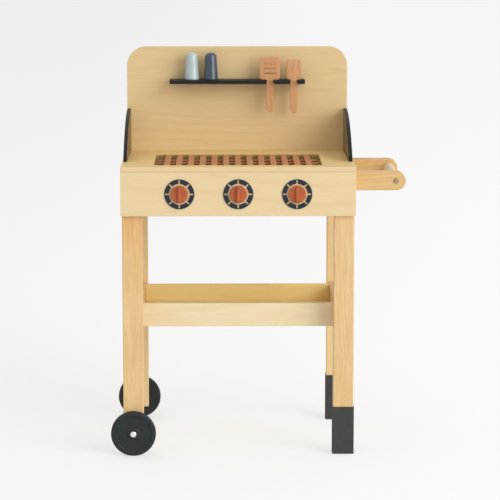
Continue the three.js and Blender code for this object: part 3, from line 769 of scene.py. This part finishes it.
def foot_cap(node):
    """A rubber cap: an open box round the leg's end, with a thick sole."""
    low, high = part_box(node)
    bm = bmesh.new()
    cuboid(bm, low, high)
    uprights = [e for e in bm.edges if e.verts[0].co.to_2d() == e.verts[1].co.to_2d()]
    rounded(bm, uprights, TIMBER_EDGE, FULL_EDGE_SEGMENTS)
    mouth = [face for face in bm.faces if face.normal.z > SQUARE_ON]
    bmesh.ops.inset_region(bm, faces=mouth, thickness=FOOT_CAP_WALL)
    pushed_in(bm, mouth, UNIT[Z] * (low.z + FOOT_CAP_SOLE - high.z))
    soften(bm, FOOT_CAP_EDGE, FINE_EDGE_SEGMENTS)
    finished(node + "_rubber", bm, STAND, "foot_rubber", [FOOT_RUBBER], node)


def make_legs_and_tray():
    """Four legs, the rubber caps of the right ones, and the tray between them."""
    timber_bar("left_front_leg", BEECH, LEFT_LEG_RIPE)
    timber_bar("right_front_leg", BEECH)
    # The back legs take the paler beech, which is painted light
    for side in SIDES:
        timber_bar(side + "_back_leg", BACK_LEG_BEECH_PAINTED_LIGHT)
    for end in ENDS:
        foot_cap(end + "_foot_cap")
    for side in SIDES:
        timber_bar(f"tray_{side}_stretcher", BEECH)
    # The front rail's paler plywood is painted light
    ply_board("tray_front_rail", RAIL_PLY_PAINTED_LIGHT)
    # The tray's back rail and floor carry painted light
    ply_board("tray_back_rail", TRAY_PLY_PAINTED_LIGHT)
    ply_board("tray_floor", TRAY_PLY_PAINTED_LIGHT)


def inside(face, low, high):
    """Whether a face's middle is between two places, or within a seam of them, seen from above."""
    middle = face.calc_center_median()
    return all(low[axis] - SEAM < middle[axis] < high[axis] + SEAM for axis in (X, Y))


def paint_shade_inside(bm, low, high):
    """Gives the third finish, the well's painted shade, to the upright faces between two places, the walls
    of a hole.
    """
    for face in bm.faces:
        if inside(face, low, high) and abs(face.normal.z) < SQUARE_ON:
            face.material_index = 2


def make_worktop():
    """The board with the well through it and a blind pocket for each of the wings' tabs."""
    low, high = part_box("worktop")
    well_low = (low.x + WELL_MARGIN_SIDE, low.y + WELL_SETBACK)
    well_high = (high.x - WELL_MARGIN_SIDE, low.y + WELL_SETBACK + WELL_DEPTH)
    well = rectangle(well_low, well_high, Z, [WELL_CORNER] * 4)
    seam = Vector((SEAM, SEAM, SEAM))
    pockets = [(tab_low - seam, tab_high + seam) for side in SIDES for tab_low, tab_high in wing_tabs(side)]
    marks = [rectangle(*pocket, Z) for pocket in pockets]
    bm = bmesh.new()
    pierced_plate(bm, rectangle(low, high, Z), [well], Z, low.z, high.z, marks)
    mark_edges(bm, Z)
    # The well's walls take the third finish, a painted shade
    paint_shade_inside(bm, well_low, well_high)
    soften(bm, PLY_EDGE)
    for pocket in pockets:
        top = [face for face in bm.faces if face.normal.z > SQUARE_ON and inside(face, *pocket)]
        pushed_in(bm, top, UNIT[Z] * (pocket[0].z - high.z))
    # The worktop's brighter plywood is painted light
    finishes = [*ply_finishes("worktop", WORKTOP_PLY_PAINTED_LIGHT, edge_tone=PALE_PLY), WELL_PAINTED_SHADE]
    finished("worktop_board", bm, STAND, "plywood", finishes, "worktop")


def make_well_floor():
    """The board under the well, in the well's dark olive painted shade."""
    bm = bmesh.new()
    cuboid(bm, *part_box("well_floor"))
    soften(bm, PLY_EDGE)
    finished("well_floor_board", bm, STAND, "panel_plywood", [WELL_PAINTED_SHADE], "well_floor")


def make_grate():
    """A row of bars on three cross bars, into which they sink a little."""
    low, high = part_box("grate")
    middle = middle_of("grate")
    bm = bmesh.new()
    half = GRATE_CROSS_WIDTH / 2
    for reach in spread(GRATE_CROSS_BARS, WELL_DEPTH / (GRATE_CROSS_BARS + 1)):
        y = middle.y + reach
        cuboid(bm, (low.x, y - half, low.z), (high.x, y + half, low.z + GRATE_CROSS_HEIGHT))
    half = GRATE_BAR_WIDTH / 2
    bottom = low.z + GRATE_CROSS_HEIGHT - GRATE_BITE
    for reach in spread(GRATE_BARS, GRATE_PITCH):
        x = middle.x + reach
        cuboid(bm, (x - half, low.y, bottom), (x + half, high.y, high.z))
    soften(bm, GRATE_EDGE)
    finished("grate_bars", bm, "grate", "terracotta_paint", [GRATE_TERRACOTTA], "grate")


def make_box():
    """The box under the worktop: its panels, the well's floor, the worktop and the grate."""
    ply_board("front_panel", PALE_PLY, X)
    for side in SIDES:
        ply_board(side + "_side_board", PALE_PLY, Y)
    make_well_floor()
    make_worktop()
    make_grate()


def make_splash_panel():
    """The upright panel behind the worktop, with round upper corners."""
    low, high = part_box("splash_panel")
    bm = bmesh.new()
    plate(bm, rectangle(low, high, Y, (0, 0, PANEL_CORNER, PANEL_CORNER)), Y, low.y, high.y)
    mark_edges(bm, Y)
    soften(bm, PLY_EDGE)
    # The splash panel's darker, warmer veneer is painted shade
    finishes = ply_finishes("splash_panel", PANEL_PLY_PAINTED_SHADE, X)
    finished("splash_panel_board", bm, STAND, "panel_plywood", finishes, "splash_panel")


def wing_tabs(side):
    """The corners of a wing's two tabs, which plug into the worktop."""
    low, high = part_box(side + "_wing")
    for reach in (-WING_TAB_REACH, WING_TAB_REACH):
        y = (low.y + high.y) / 2 + reach
        start = Vector((low.x, y - WING_TAB_LENGTH / 2, low.z))
        yield start, Vector((high.x, y + WING_TAB_LENGTH / 2, low.z + WING_TAB_DROP))


def bow(bm, nose, tip):
    """Bends the straight edge from a wing's nose to its tip outwards into a parabola."""
    start = nose.co.copy()
    chord = tip.co - start
    outward = UNIT[X].cross(chord).normalized()
    outward *= math.copysign(1, outward.z)
    made = bmesh.ops.subdivide_edges(bm, edges=[bm.edges.get((nose, tip))], cuts=WING_CURVE_STEPS - 1)
    for vert in {v for v in made["geom_inner"] if isinstance(v, bmesh.types.BMVert)}:
        share = (vert.co - start).length / chord.length
        vert.co += outward * (4 * WING_BULGE * share * (1 - share))


def make_wing(side):
    """A wing with a bowed top edge and two tabs; it is painted outside, and its inner face carries an
    olive-brown painted shade.
    """
    node = side + "_wing"
    low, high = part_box(node)
    bottom = low.z + WING_TAB_DROP
    corners = [(low.y, bottom), (low.y, bottom + WING_NOSE), (high.y, high.z), (high.y, bottom)]
    for tab_low, tab_high in reversed([*wing_tabs(side)]):
        corners += [(tab_high.y, bottom), (tab_high.y, low.z), (tab_low.y, low.z), (tab_low.y, bottom)]
    bm = bmesh.new()
    verts = [bm.verts.new((low.x, y, z)) for y, z in corners]
    bm.faces.new(verts)
    bow(bm, verts[1], verts[2])
    thicken(bm, X, high.x - low.x)
    inward = -SIDES[side]
    # The inner face takes the second finish, the olive-brown painted shade
    for face in bm.faces:
        face.material_index = 1 if face.normal.x * inward > SQUARE_ON else 0
    soften(bm, PAINTED_EDGE)
    finished(node + "_board", bm, STAND, "navy_paint", [NAVY, OLIVE_PAINTED_SHADE], node)


# Shelf, shakers and utensils


def make_shelf():
    """A thin shelf with a slot from its front edge for each utensil's handle."""
    low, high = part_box("shelf")
    corners = [(low.x, high.y, SHELF_CORNER), (low.x, low.y, SHELF_CORNER)]
    for utensil in ("spatula", "fork"):
        x = middle_of(utensil).x
        corners += notch(x - SHELF_SLOT_RADIUS, x + SHELF_SLOT_RADIUS, low.y, low.y + SHELF_SLOT_DEPTH)
    corners += [(high.x, low.y, SHELF_CORNER), (high.x, high.y, SHELF_CORNER)]
    bm = bmesh.new()
    plate(bm, corners, Z, low.z, high.z)
    soften(bm, PAINTED_EDGE)
    finished("shelf_board", bm, STAND, "navy_paint", [NAVY], "shelf")


def make_shaker(node, finish, slot):
    """A tapered turned peg with a domed top."""
    radius, height = round_size(node, Z)
    neck = SHAKER_NECK_HEIGHT
    top = dome(SHAKER_NECK_RADIUS, neck, height - neck, SHAKER_DOME_STEPS)
    bm = bmesh.new()
    turned(bm, [(0, 0), (radius, 0), (SHAKER_NECK_RADIUS, neck), *top, (0, height)])
    soften(bm, SHAKER_EDGE)
    lay(bm, Z, end_of(node, Z, -1))
    finished(node + "_peg", bm, node, slot, [finish], node)


def utensil_corners(node, head, top=()):
    """The outline of a head on a round-ended handle, with what cuts into its top, from right to left."""
    low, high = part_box(node)
    x = middle_of(node).x
    grip = UTENSIL_HANDLE / 2
    shoulder = high.z - head
    return [
        (low.x, shoulder, UTENSIL_CORNER),
        (x - grip, shoulder, 0),
        (x - grip, low.z, grip),
        (x + grip, low.z, grip),
        (x + grip, shoulder, 0),
        (high.x, shoulder, UTENSIL_CORNER),
        (high.x, high.z, UTENSIL_CORNER),
        *top,
        (low.x, high.z, UTENSIL_CORNER),
    ]


def finished_utensil(bm, node):
    """Softens a utensil's edges and gives it its wood."""
    soften(bm, UTENSIL_EDGE)
    wood = timber(node + " wood", UTENSIL_WOOD, Z, middle_of(node), UTENSIL_ROUGHNESS)
    finished(node + "_blade", bm, node, "pale_terracotta_paint", [wood], node)


def make_spatula():
    """A spatula with three slots across its head."""
    low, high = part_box("spatula")
    middle = middle_of("spatula")
    half_width, half_height = SPATULA_SLOT_WIDTH / 2, SPATULA_SLOT_HEIGHT / 2
    slots = []
    for reach in spread(SPATULA_SLOTS, SPATULA_SLOT_PITCH):
        z = high.z - SPATULA_HEAD / 2 + reach
        slot_low = (middle.x - half_width, low.y, z - half_height)
        slot_high = (middle.x + half_width, high.y, z + half_height)
        slots.append(rectangle(slot_low, slot_high, Y, [half_height] * 4))
    bm = bmesh.new()
    pierced_plate(bm, utensil_corners("spatula", SPATULA_HEAD), slots, Y, low.y, high.y)
    finished_utensil(bm, "spatula")


def make_fork():
    """A fork with three tines."""
    low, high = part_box("fork")
    pitch = (high.x - low.x + FORK_TINE_GAP) / FORK_TINES
    half = FORK_TINE_GAP / 2
    gaps = []
    for reach in reversed(spread(FORK_TINES - 1, pitch)):
        x = middle_of("fork").x + reach
        gaps += notch(x + half, x - half, high.z, high.z - FORK_TINE_LENGTH)
    bm = bmesh.new()
    plate(bm, utensil_corners("fork", FORK_HEAD, gaps), Y, low.y, high.y)
    finished_utensil(bm, "fork")


# Knobs and dials


def notch_angle(radius):
    """Half the angle that a dial's notch takes at a radius."""
    return math.asin(DIAL_NOTCH_WIDTH / 2 / radius)


def ring_part(bm, radii, start, sweep, steps):
    """A part of a flat ring: a row of points at the radii, turned round Z from the start."""
    turn = Matrix.Rotation(start, 3, "Z")
    verts = [bm.verts.new(turn @ (UNIT[X] * radius)) for radius in radii]
    edges = [bm.edges.new(pair) for pair in zip(verts, verts[1:])]
    bmesh.ops.spin(bm, geom=verts + edges, axis=UNIT[Z], cent=(0, 0, 0), angle=sweep, steps=steps)


def straighten_notches(bm):
    """Draws each notch's outer corners together, so that its two sides are parallel."""
    step = math.tau / DIAL_NOTCHES
    wide, narrow = notch_angle(DIAL_HOLE_RADIUS), notch_angle(DIAL_NOTCH_RADIUS)
    for vert in bm.verts:
        angle = math.atan2(vert.co.y, vert.co.x)
        off = angle - round(angle / step) * step
        if abs(vert.co.length - DIAL_NOTCH_RADIUS) < WELD and abs(abs(off) - wide) < SAME_ANGLE:
            vert.co = Matrix.Rotation(math.copysign(narrow, off) - off, 3, "Z") @ vert.co


def make_dial(place):
    """A flat ring with eight notches cut outwards from its inner edge."""
    node = place + "_dial_ring"
    radius, thick = round_size(node)
    step = math.tau / DIAL_NOTCHES
    wide = 2 * notch_angle(DIAL_HOLE_RADIUS)
    whole = (DIAL_HOLE_RADIUS, DIAL_NOTCH_RADIUS, radius)
    bm = bmesh.new()
    for i in range(DIAL_NOTCHES):
        start = step * i - wide / 2
        ring_part(bm, whole[1:], start, wide, DIAL_NOTCH_STEPS)
        ring_part(bm, whole, start + wide, step - wide, DIAL_ARC_STEPS)
    bmesh.ops.remove_doubles(bm, verts=bm.verts, dist=WELD)
    straighten_notches(bm)
    thicken(bm, Z, thick)
    soften(bm, DIAL_EDGE, FINE_EDGE_SEGMENTS)
    lay(bm, Y, end_of(node, Y, 1), -1)
    finished(node + "_paint", bm, STAND, "dial_paint", [DIAL_NAVY], node)


def make_knob(place):
    """A turned knob with a raised finger ridge across it."""
    node = place + "_knob"
    radius, depth = round_size(node)
    half, reach = KNOB_RIDGE_WIDTH / 2, radius - KNOB_RIDGE_INSET
    bm = bmesh.new()
    turned(bm, [(0, 0), (radius, 0), (radius, KNOB_BODY_DEPTH), (0, KNOB_BODY_DEPTH)])
    cuboid(bm, (-half, -reach, KNOB_BODY_DEPTH / 2), (half, reach, depth))
    soften(bm, KNOB_EDGE, FULL_EDGE_SEGMENTS)
    lay(bm, Y, end_of(node, Y, 1), -1)
    finished(node + "_turned", bm, node, "terracotta_paint", [TERRACOTTA], node)


# Fasteners: each kind has its slot, finish, recess, shank radius and head height
FASTENERS = {
    "screw": ("steel", ZINC, "cross", 2.25 * MM, 2 * MM),
    "shelf screw": ("steel", ZINC, "cross", 1.25 * MM, 2 * MM),
    "grip bolt": ("dark_steel", DARK_STEEL, "hexagon", 3 * MM, 3 * MM),
    "knob spindle": ("dark_steel", DARK_STEEL, "cross", 3 * MM, 2.5 * MM),
}


def cross_recess(bm, arm, width):
    """A cross of five square faces."""
    bmesh.ops.create_grid(bm, x_segments=1, y_segments=1, size=width / 2)
    for edge in bm.edges[:]:
        out = (edge.verts[0].co + edge.verts[1].co).normalized()
        move_corners(bm, bmesh.ops.extrude_edge_only(bm, edges=[edge]), out * (arm - width / 2))


def fastener(bm, length, shank, head, thick, recess):
    """A screw or bolt on Z: its head's crown is at height 0 and its shank hangs below."""
    if recess == "cross":
        cross_recess(bm, head * RECESS_ARM_SHARE, head * RECESS_WIDTH_SHARE)
    else:
        bmesh.ops.create_circle(bm, cap_ends=True, segments=HEXAGON_SIDES, radius=head * HEXAGON_SHARE)
    drive = bm.faces[:]
    profile = [
        (head * CROWN_SHARE, 0),
        (head * SHOULDER_SHARE, -thick * SHOULDER_DROP_SHARE),
        (head, -thick * RIM_DROP_SHARE),
        (head, -thick),
        (shank, -thick),
        (shank, shank - length),
        (0, -length),
    ]
    turned(bm, profile, FASTENER_STEPS, closed=False)
    bmesh.ops.bridge_loops(bm, edges=[e for e in bm.edges if e.is_boundary])
    bmesh.ops.recalc_face_normals(bm, faces=bm.faces)
    slope, depth = head * RECESS_SLOPE_SHARE, -thick * RECESS_DEPTH_SHARE
    bmesh.ops.inset_region(bm, faces=drive, thickness=slope, depth=depth)
    soften(bm, head * HEAD_EDGE_SHARE, FINE_EDGE_SEGMENTS)


def make_fastener(node, kind, along, outward, body=STAND):
    """A fastener along an axis, with its head at the end that looks outward."""
    slot, finish, recess, shank, thick = FASTENERS[kind]
    head, length = round_size(node, along)
    bm = bmesh.new()
    fastener(bm, length, shank, head, thick, recess)
    lay(bm, along, end_of(node, along, outward), outward)
    finished(node + "_steel", bm, body, slot, [finish], node)


def make_fasteners():
    """The screws of the panel, shelf and arms, the grip's bolts and the knobs' spindles."""
    for side in SIDES:
        for level in LEVELS:
            make_fastener(f"{side}_{level}_panel_screw", "screw", Y, -1)
        make_fastener(f"{side}_shelf_screw", "shelf screw", Y, 1)
    for end, outward in ENDS.items():
        for level in LEVELS:
            make_fastener(f"{end}_{level}_arm_screw", "screw", X, -1)
        make_fastener(f"{end}_grip_bolt", "grip bolt", Y, outward)
    for place in KNOB_PLACES:
        make_fastener(f"{place}_knob_spindle", "knob spindle", Y, 1, place + "_knob")


# Wheels and handle


def make_wheel(end, outward):
    """A wheel with rounded shoulders, a flat rim and a shallow dish round the washer."""
    node = end + "_wheel"
    radius, thick = round_size(node)
    dish = radius - WHEEL_RIM
    profile = [
        (AXLE_BORE, 0),
        (radius, 0),
        (radius, thick),
        (dish, thick),
        (dish - WHEEL_DISH, thick - WHEEL_DISH),
        (WASHER_RADIUS + WHEEL_DISH, thick - WHEEL_DISH),
        (WASHER_RADIUS, thick),
        (AXLE_BORE, thick),
    ]
    bm = bmesh.new()
    turned(bm, profile, WHEEL_STEPS)
    beyond = radius - WHEEL_RIM / 2
    shoulders = [e for e in sharp_edges(bm) if all(v.co.to_2d().length > beyond for v in e.verts)]
    rounded(bm, shoulders, WHEEL_SHOULDER, WHEEL_SHOULDER_SEGMENTS)
    soften(bm, WHEEL_EDGE)
    lay(bm, Y, end_of(node, Y, -outward), outward)
    finished(node + "_tyre", bm, node, "wheel_rubber", [WHEEL_RUBBER], node)


def make_hub_cap(end, outward):
    """A push-on cap: a domed disc with a short skirt."""
    node = end + "_hub_cap"
    radius, depth = round_size(node)
    rise = depth * HUB_CAP_DOME_SHARE
    profile = [
        (HUB_CAP_BORE, 0),
        (radius, 0),
        (radius, depth - rise),
        *dome(radius, depth - rise, rise, HUB_CAP_DOME_STEPS),
        (0, depth),
        (0, depth - HUB_CAP_WALL),
        (HUB_CAP_BORE, depth - HUB_CAP_WALL),
    ]
    bm = bmesh.new()
    turned(bm, profile, HUB_STEPS)
    lay(bm, Y, end_of(node, Y, -outward), outward)
    finished(node + "_dome", bm, STAND, "steel", [ZINC], node)


def make_washer(end):
    """A flat ring on the axle rod."""
    node = end + "_axle_washer"
    thick = size_of(node).y
    bm = bmesh.new()
    profile = [(AXLE_BORE, 0), (WASHER_RADIUS, 0), (WASHER_RADIUS, thick), (AXLE_BORE, thick)]
    turned(bm, profile, HUB_STEPS)
    soften(bm, WASHER_EDGE, FINE_EDGE_SEGMENTS)
    lay(bm, Y, end_of(node, Y, -1))
    finished(node + "_ring", bm, STAND, "steel", [ZINC], node)


def make_round_bar(node, ending, slot, finish, edge):
    """A round bar along Y with softened ends."""
    radius, length = round_size(node)
    bm = bmesh.new()
    turned(bm, [(0, 0), (radius, 0), (radius, length), (0, length)])
    soften(bm, edge, FULL_EDGE_SEGMENTS)
    lay(bm, Y, end_of(node, Y, -1))
    finished(node + ending, bm, STAND, slot, [finish], node)


def make_arm(end):
    """A handle arm with a round end."""
    node = end + "_arm"
    low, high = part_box(node)
    bm = bmesh.new()
    plate(bm, rectangle(low, high, Y, (0, ARM_END_RADIUS, ARM_END_RADIUS, 0)), Y, low.y, high.y)
    soften(bm, TIMBER_EDGE)
    wood = timber(end + " arm wood", ARM_BEECH, X, middle_of(node))
    finished(node + "_timber", bm, STAND, "beech", [wood], node)


def make_running_gear():
    """The wheels on their axle rod, and the handle."""
    for end, outward in ENDS.items():
        make_wheel(end, outward)
        make_hub_cap(end, outward)
        make_washer(end)
        make_arm(end)
    make_round_bar("axle_rod", "_bar", "steel", ROD_STEEL, AXLE_EDGE)
    # The grip's paler beech is partly a painted highlight
    grip_wood = timber("grip wood", GRIP_BEECH_PAINTED_HIGHLIGHT, Y, middle_of("grip"))
    make_round_bar("grip", "_turned", "beech", grip_wood, GRIP_EDGE)


make_legs_and_tray()
make_box()
make_splash_panel()
for side in SIDES:
    make_wing(side)
make_shelf()
make_shaker("light_shaker", PALE_BLUE, "pale_blue_paint")
make_shaker("dark_shaker", SLATE_BLUE, "slate_blue_paint")
make_spatula()
make_fork()
for place in KNOB_PLACES:
    make_dial(place)
    make_knob(place)
make_fasteners()
make_running_gear()


# Studio

# The camera's place, how far it tilts down and turns to the right, and its lens in millimetres
CAMERA_PLACE = (-0.0621, -4.3240, 1.0059)
CAMERA_PITCH = math.radians(8.557)
CAMERA_YAW = math.radians(0.665)
CAMERA_LENS = 168.0
# Shares of white: the room as seen, the floor to the light, and the floor as seen, with the glow it gives
STUDIO_WHITE = 0.875
FLOOR_WHITE = 0.8
FLOOR_SEEN = 0.5
# The glow grows from left to right: painted light, standing in for the lamp's light falling off towards the
# left
FLOOR_GLOW_LEFT = 0.53
FLOOR_GLOW_RIGHT = 0.59
FLOOR_GLOW_REACH = 1.2
FLOOR_SIZE = 60.0
# The room's strength as a light, and the lamp: its colour, power in watts and size, and the way to it
ROOM_LIGHT = 0.64
LAMP_COLOUR = (1.0, 0.99, 0.97)
LAMP_POWER = 770.0
LAMP_SIZE = 8.5
LAMP_DISTANCE = 12.0
LAMP_AZIMUTH = math.radians(45)
LAMP_ELEVATION = math.radians(17)


def seen_share(nodes):
    """1 for what the camera, a mirror or clear glass sees, and 0 for light that only bounces."""
    rays = nodes.add("LightPath").outputs
    share = nodes.maths("MAXIMUM", rays["Is Camera Ray"], rays["Is Glossy Ray"])
    return nodes.maths("MAXIMUM", share, rays["Is Transmission Ray"])


def floor_finish():
    """White to the light; seen, it is a matt grey that keeps the shadow, lifted to white by a glow that
    grows from left to right as painted light.
    """
    material = bpy.data.materials.new("studio floor")
    nodes = Nodes(material)
    nodes.tree.nodes.remove(nodes.tree.nodes["Principled BSDF"])
    lit = nodes.add("BsdfDiffuse", Color=grey(FLOOR_WHITE)).outputs[0]
    matt = nodes.add("BsdfDiffuse", Color=grey(FLOOR_SEEN)).outputs[0]
    place = nodes.add("TexCoord").outputs["Object"]
    x = nodes.add("SeparateXYZ", Vector=place).outputs[X]
    ends = (-FLOOR_GLOW_REACH, FLOOR_GLOW_REACH, FLOOR_GLOW_LEFT, FLOOR_GLOW_RIGHT)
    # The glow's rise from left to right is painted light
    glow = nodes.add("Emission", Strength=nodes.between(x, *ends, fade="SMOOTHSTEP")).outputs[0]
    seen = nodes.add_in_order("AddShader", glow, matt)
    whole = nodes.add_in_order("MixShader", seen_share(nodes), lit, seen)
    nodes.feed(nodes.tree.nodes["Material Output"].inputs["Surface"], whole)
    return material


def make_floor():
    """A pale floor that keeps the object's shadow."""
    bm = bmesh.new()
    bmesh.ops.create_grid(bm, x_segments=1, y_segments=1, size=FLOOR_SIZE / 2)
    floor = mesh_object("studio_floor", bm, [floor_finish()])


def make_room_light():
    """An even white room: dim as a light, and pale where it is seen."""
    world = bpy.data.worlds.new("studio room")
    bpy.context.scene.world = world
    nodes = Nodes(world)
    room = nodes.tree.nodes["Background"]
    nodes.feed(room.inputs["Strength"], ROOM_LIGHT)
    nodes.feed(room.inputs["Color"], grey(1))
    pale = nodes.add("Background", Color=grey(STUDIO_WHITE))
    whole = nodes.add_in_order("MixShader", seen_share(nodes), room.outputs[0], pale.outputs[0])
    nodes.feed(nodes.tree.nodes["World Output"].inputs["Surface"], whole)


def make_key_light():
    """A broad soft lamp to the front right, far enough away to light the whole object alike."""
    lamp = bpy.data.lights.new("key light", "AREA")
    lamp.energy = LAMP_POWER
    lamp.size = LAMP_SIZE
    lamp.color = LAMP_COLOUR
    light = in_scene("key light", lamp)
    low, high = packed_box
    level = math.cos(LAMP_ELEVATION)
    aside, ahead = math.sin(LAMP_AZIMUTH) * level, -math.cos(LAMP_AZIMUTH) * level
    way = Vector((aside, ahead, math.sin(LAMP_ELEVATION)))
    light.location = (low + high) / 2 + way * LAMP_DISTANCE
    light.rotation_euler = way.to_track_quat("Z", "Y").to_euler()


def make_camera():
    """The photograph's view: a long lens, a little above the worktop, tilted down."""
    lens = bpy.data.cameras.new("camera")
    lens.lens = CAMERA_LENS
    camera = in_scene("camera", lens)
    camera.location = CAMERA_PLACE
    camera.rotation_euler = (math.pi / 2 - CAMERA_PITCH, 0, -CAMERA_YAW)
    bpy.context.scene.camera = camera


make_floor()
make_room_light()
make_key_light()
make_camera()
bpy.context.scene.view_settings.view_transform = "Standard"
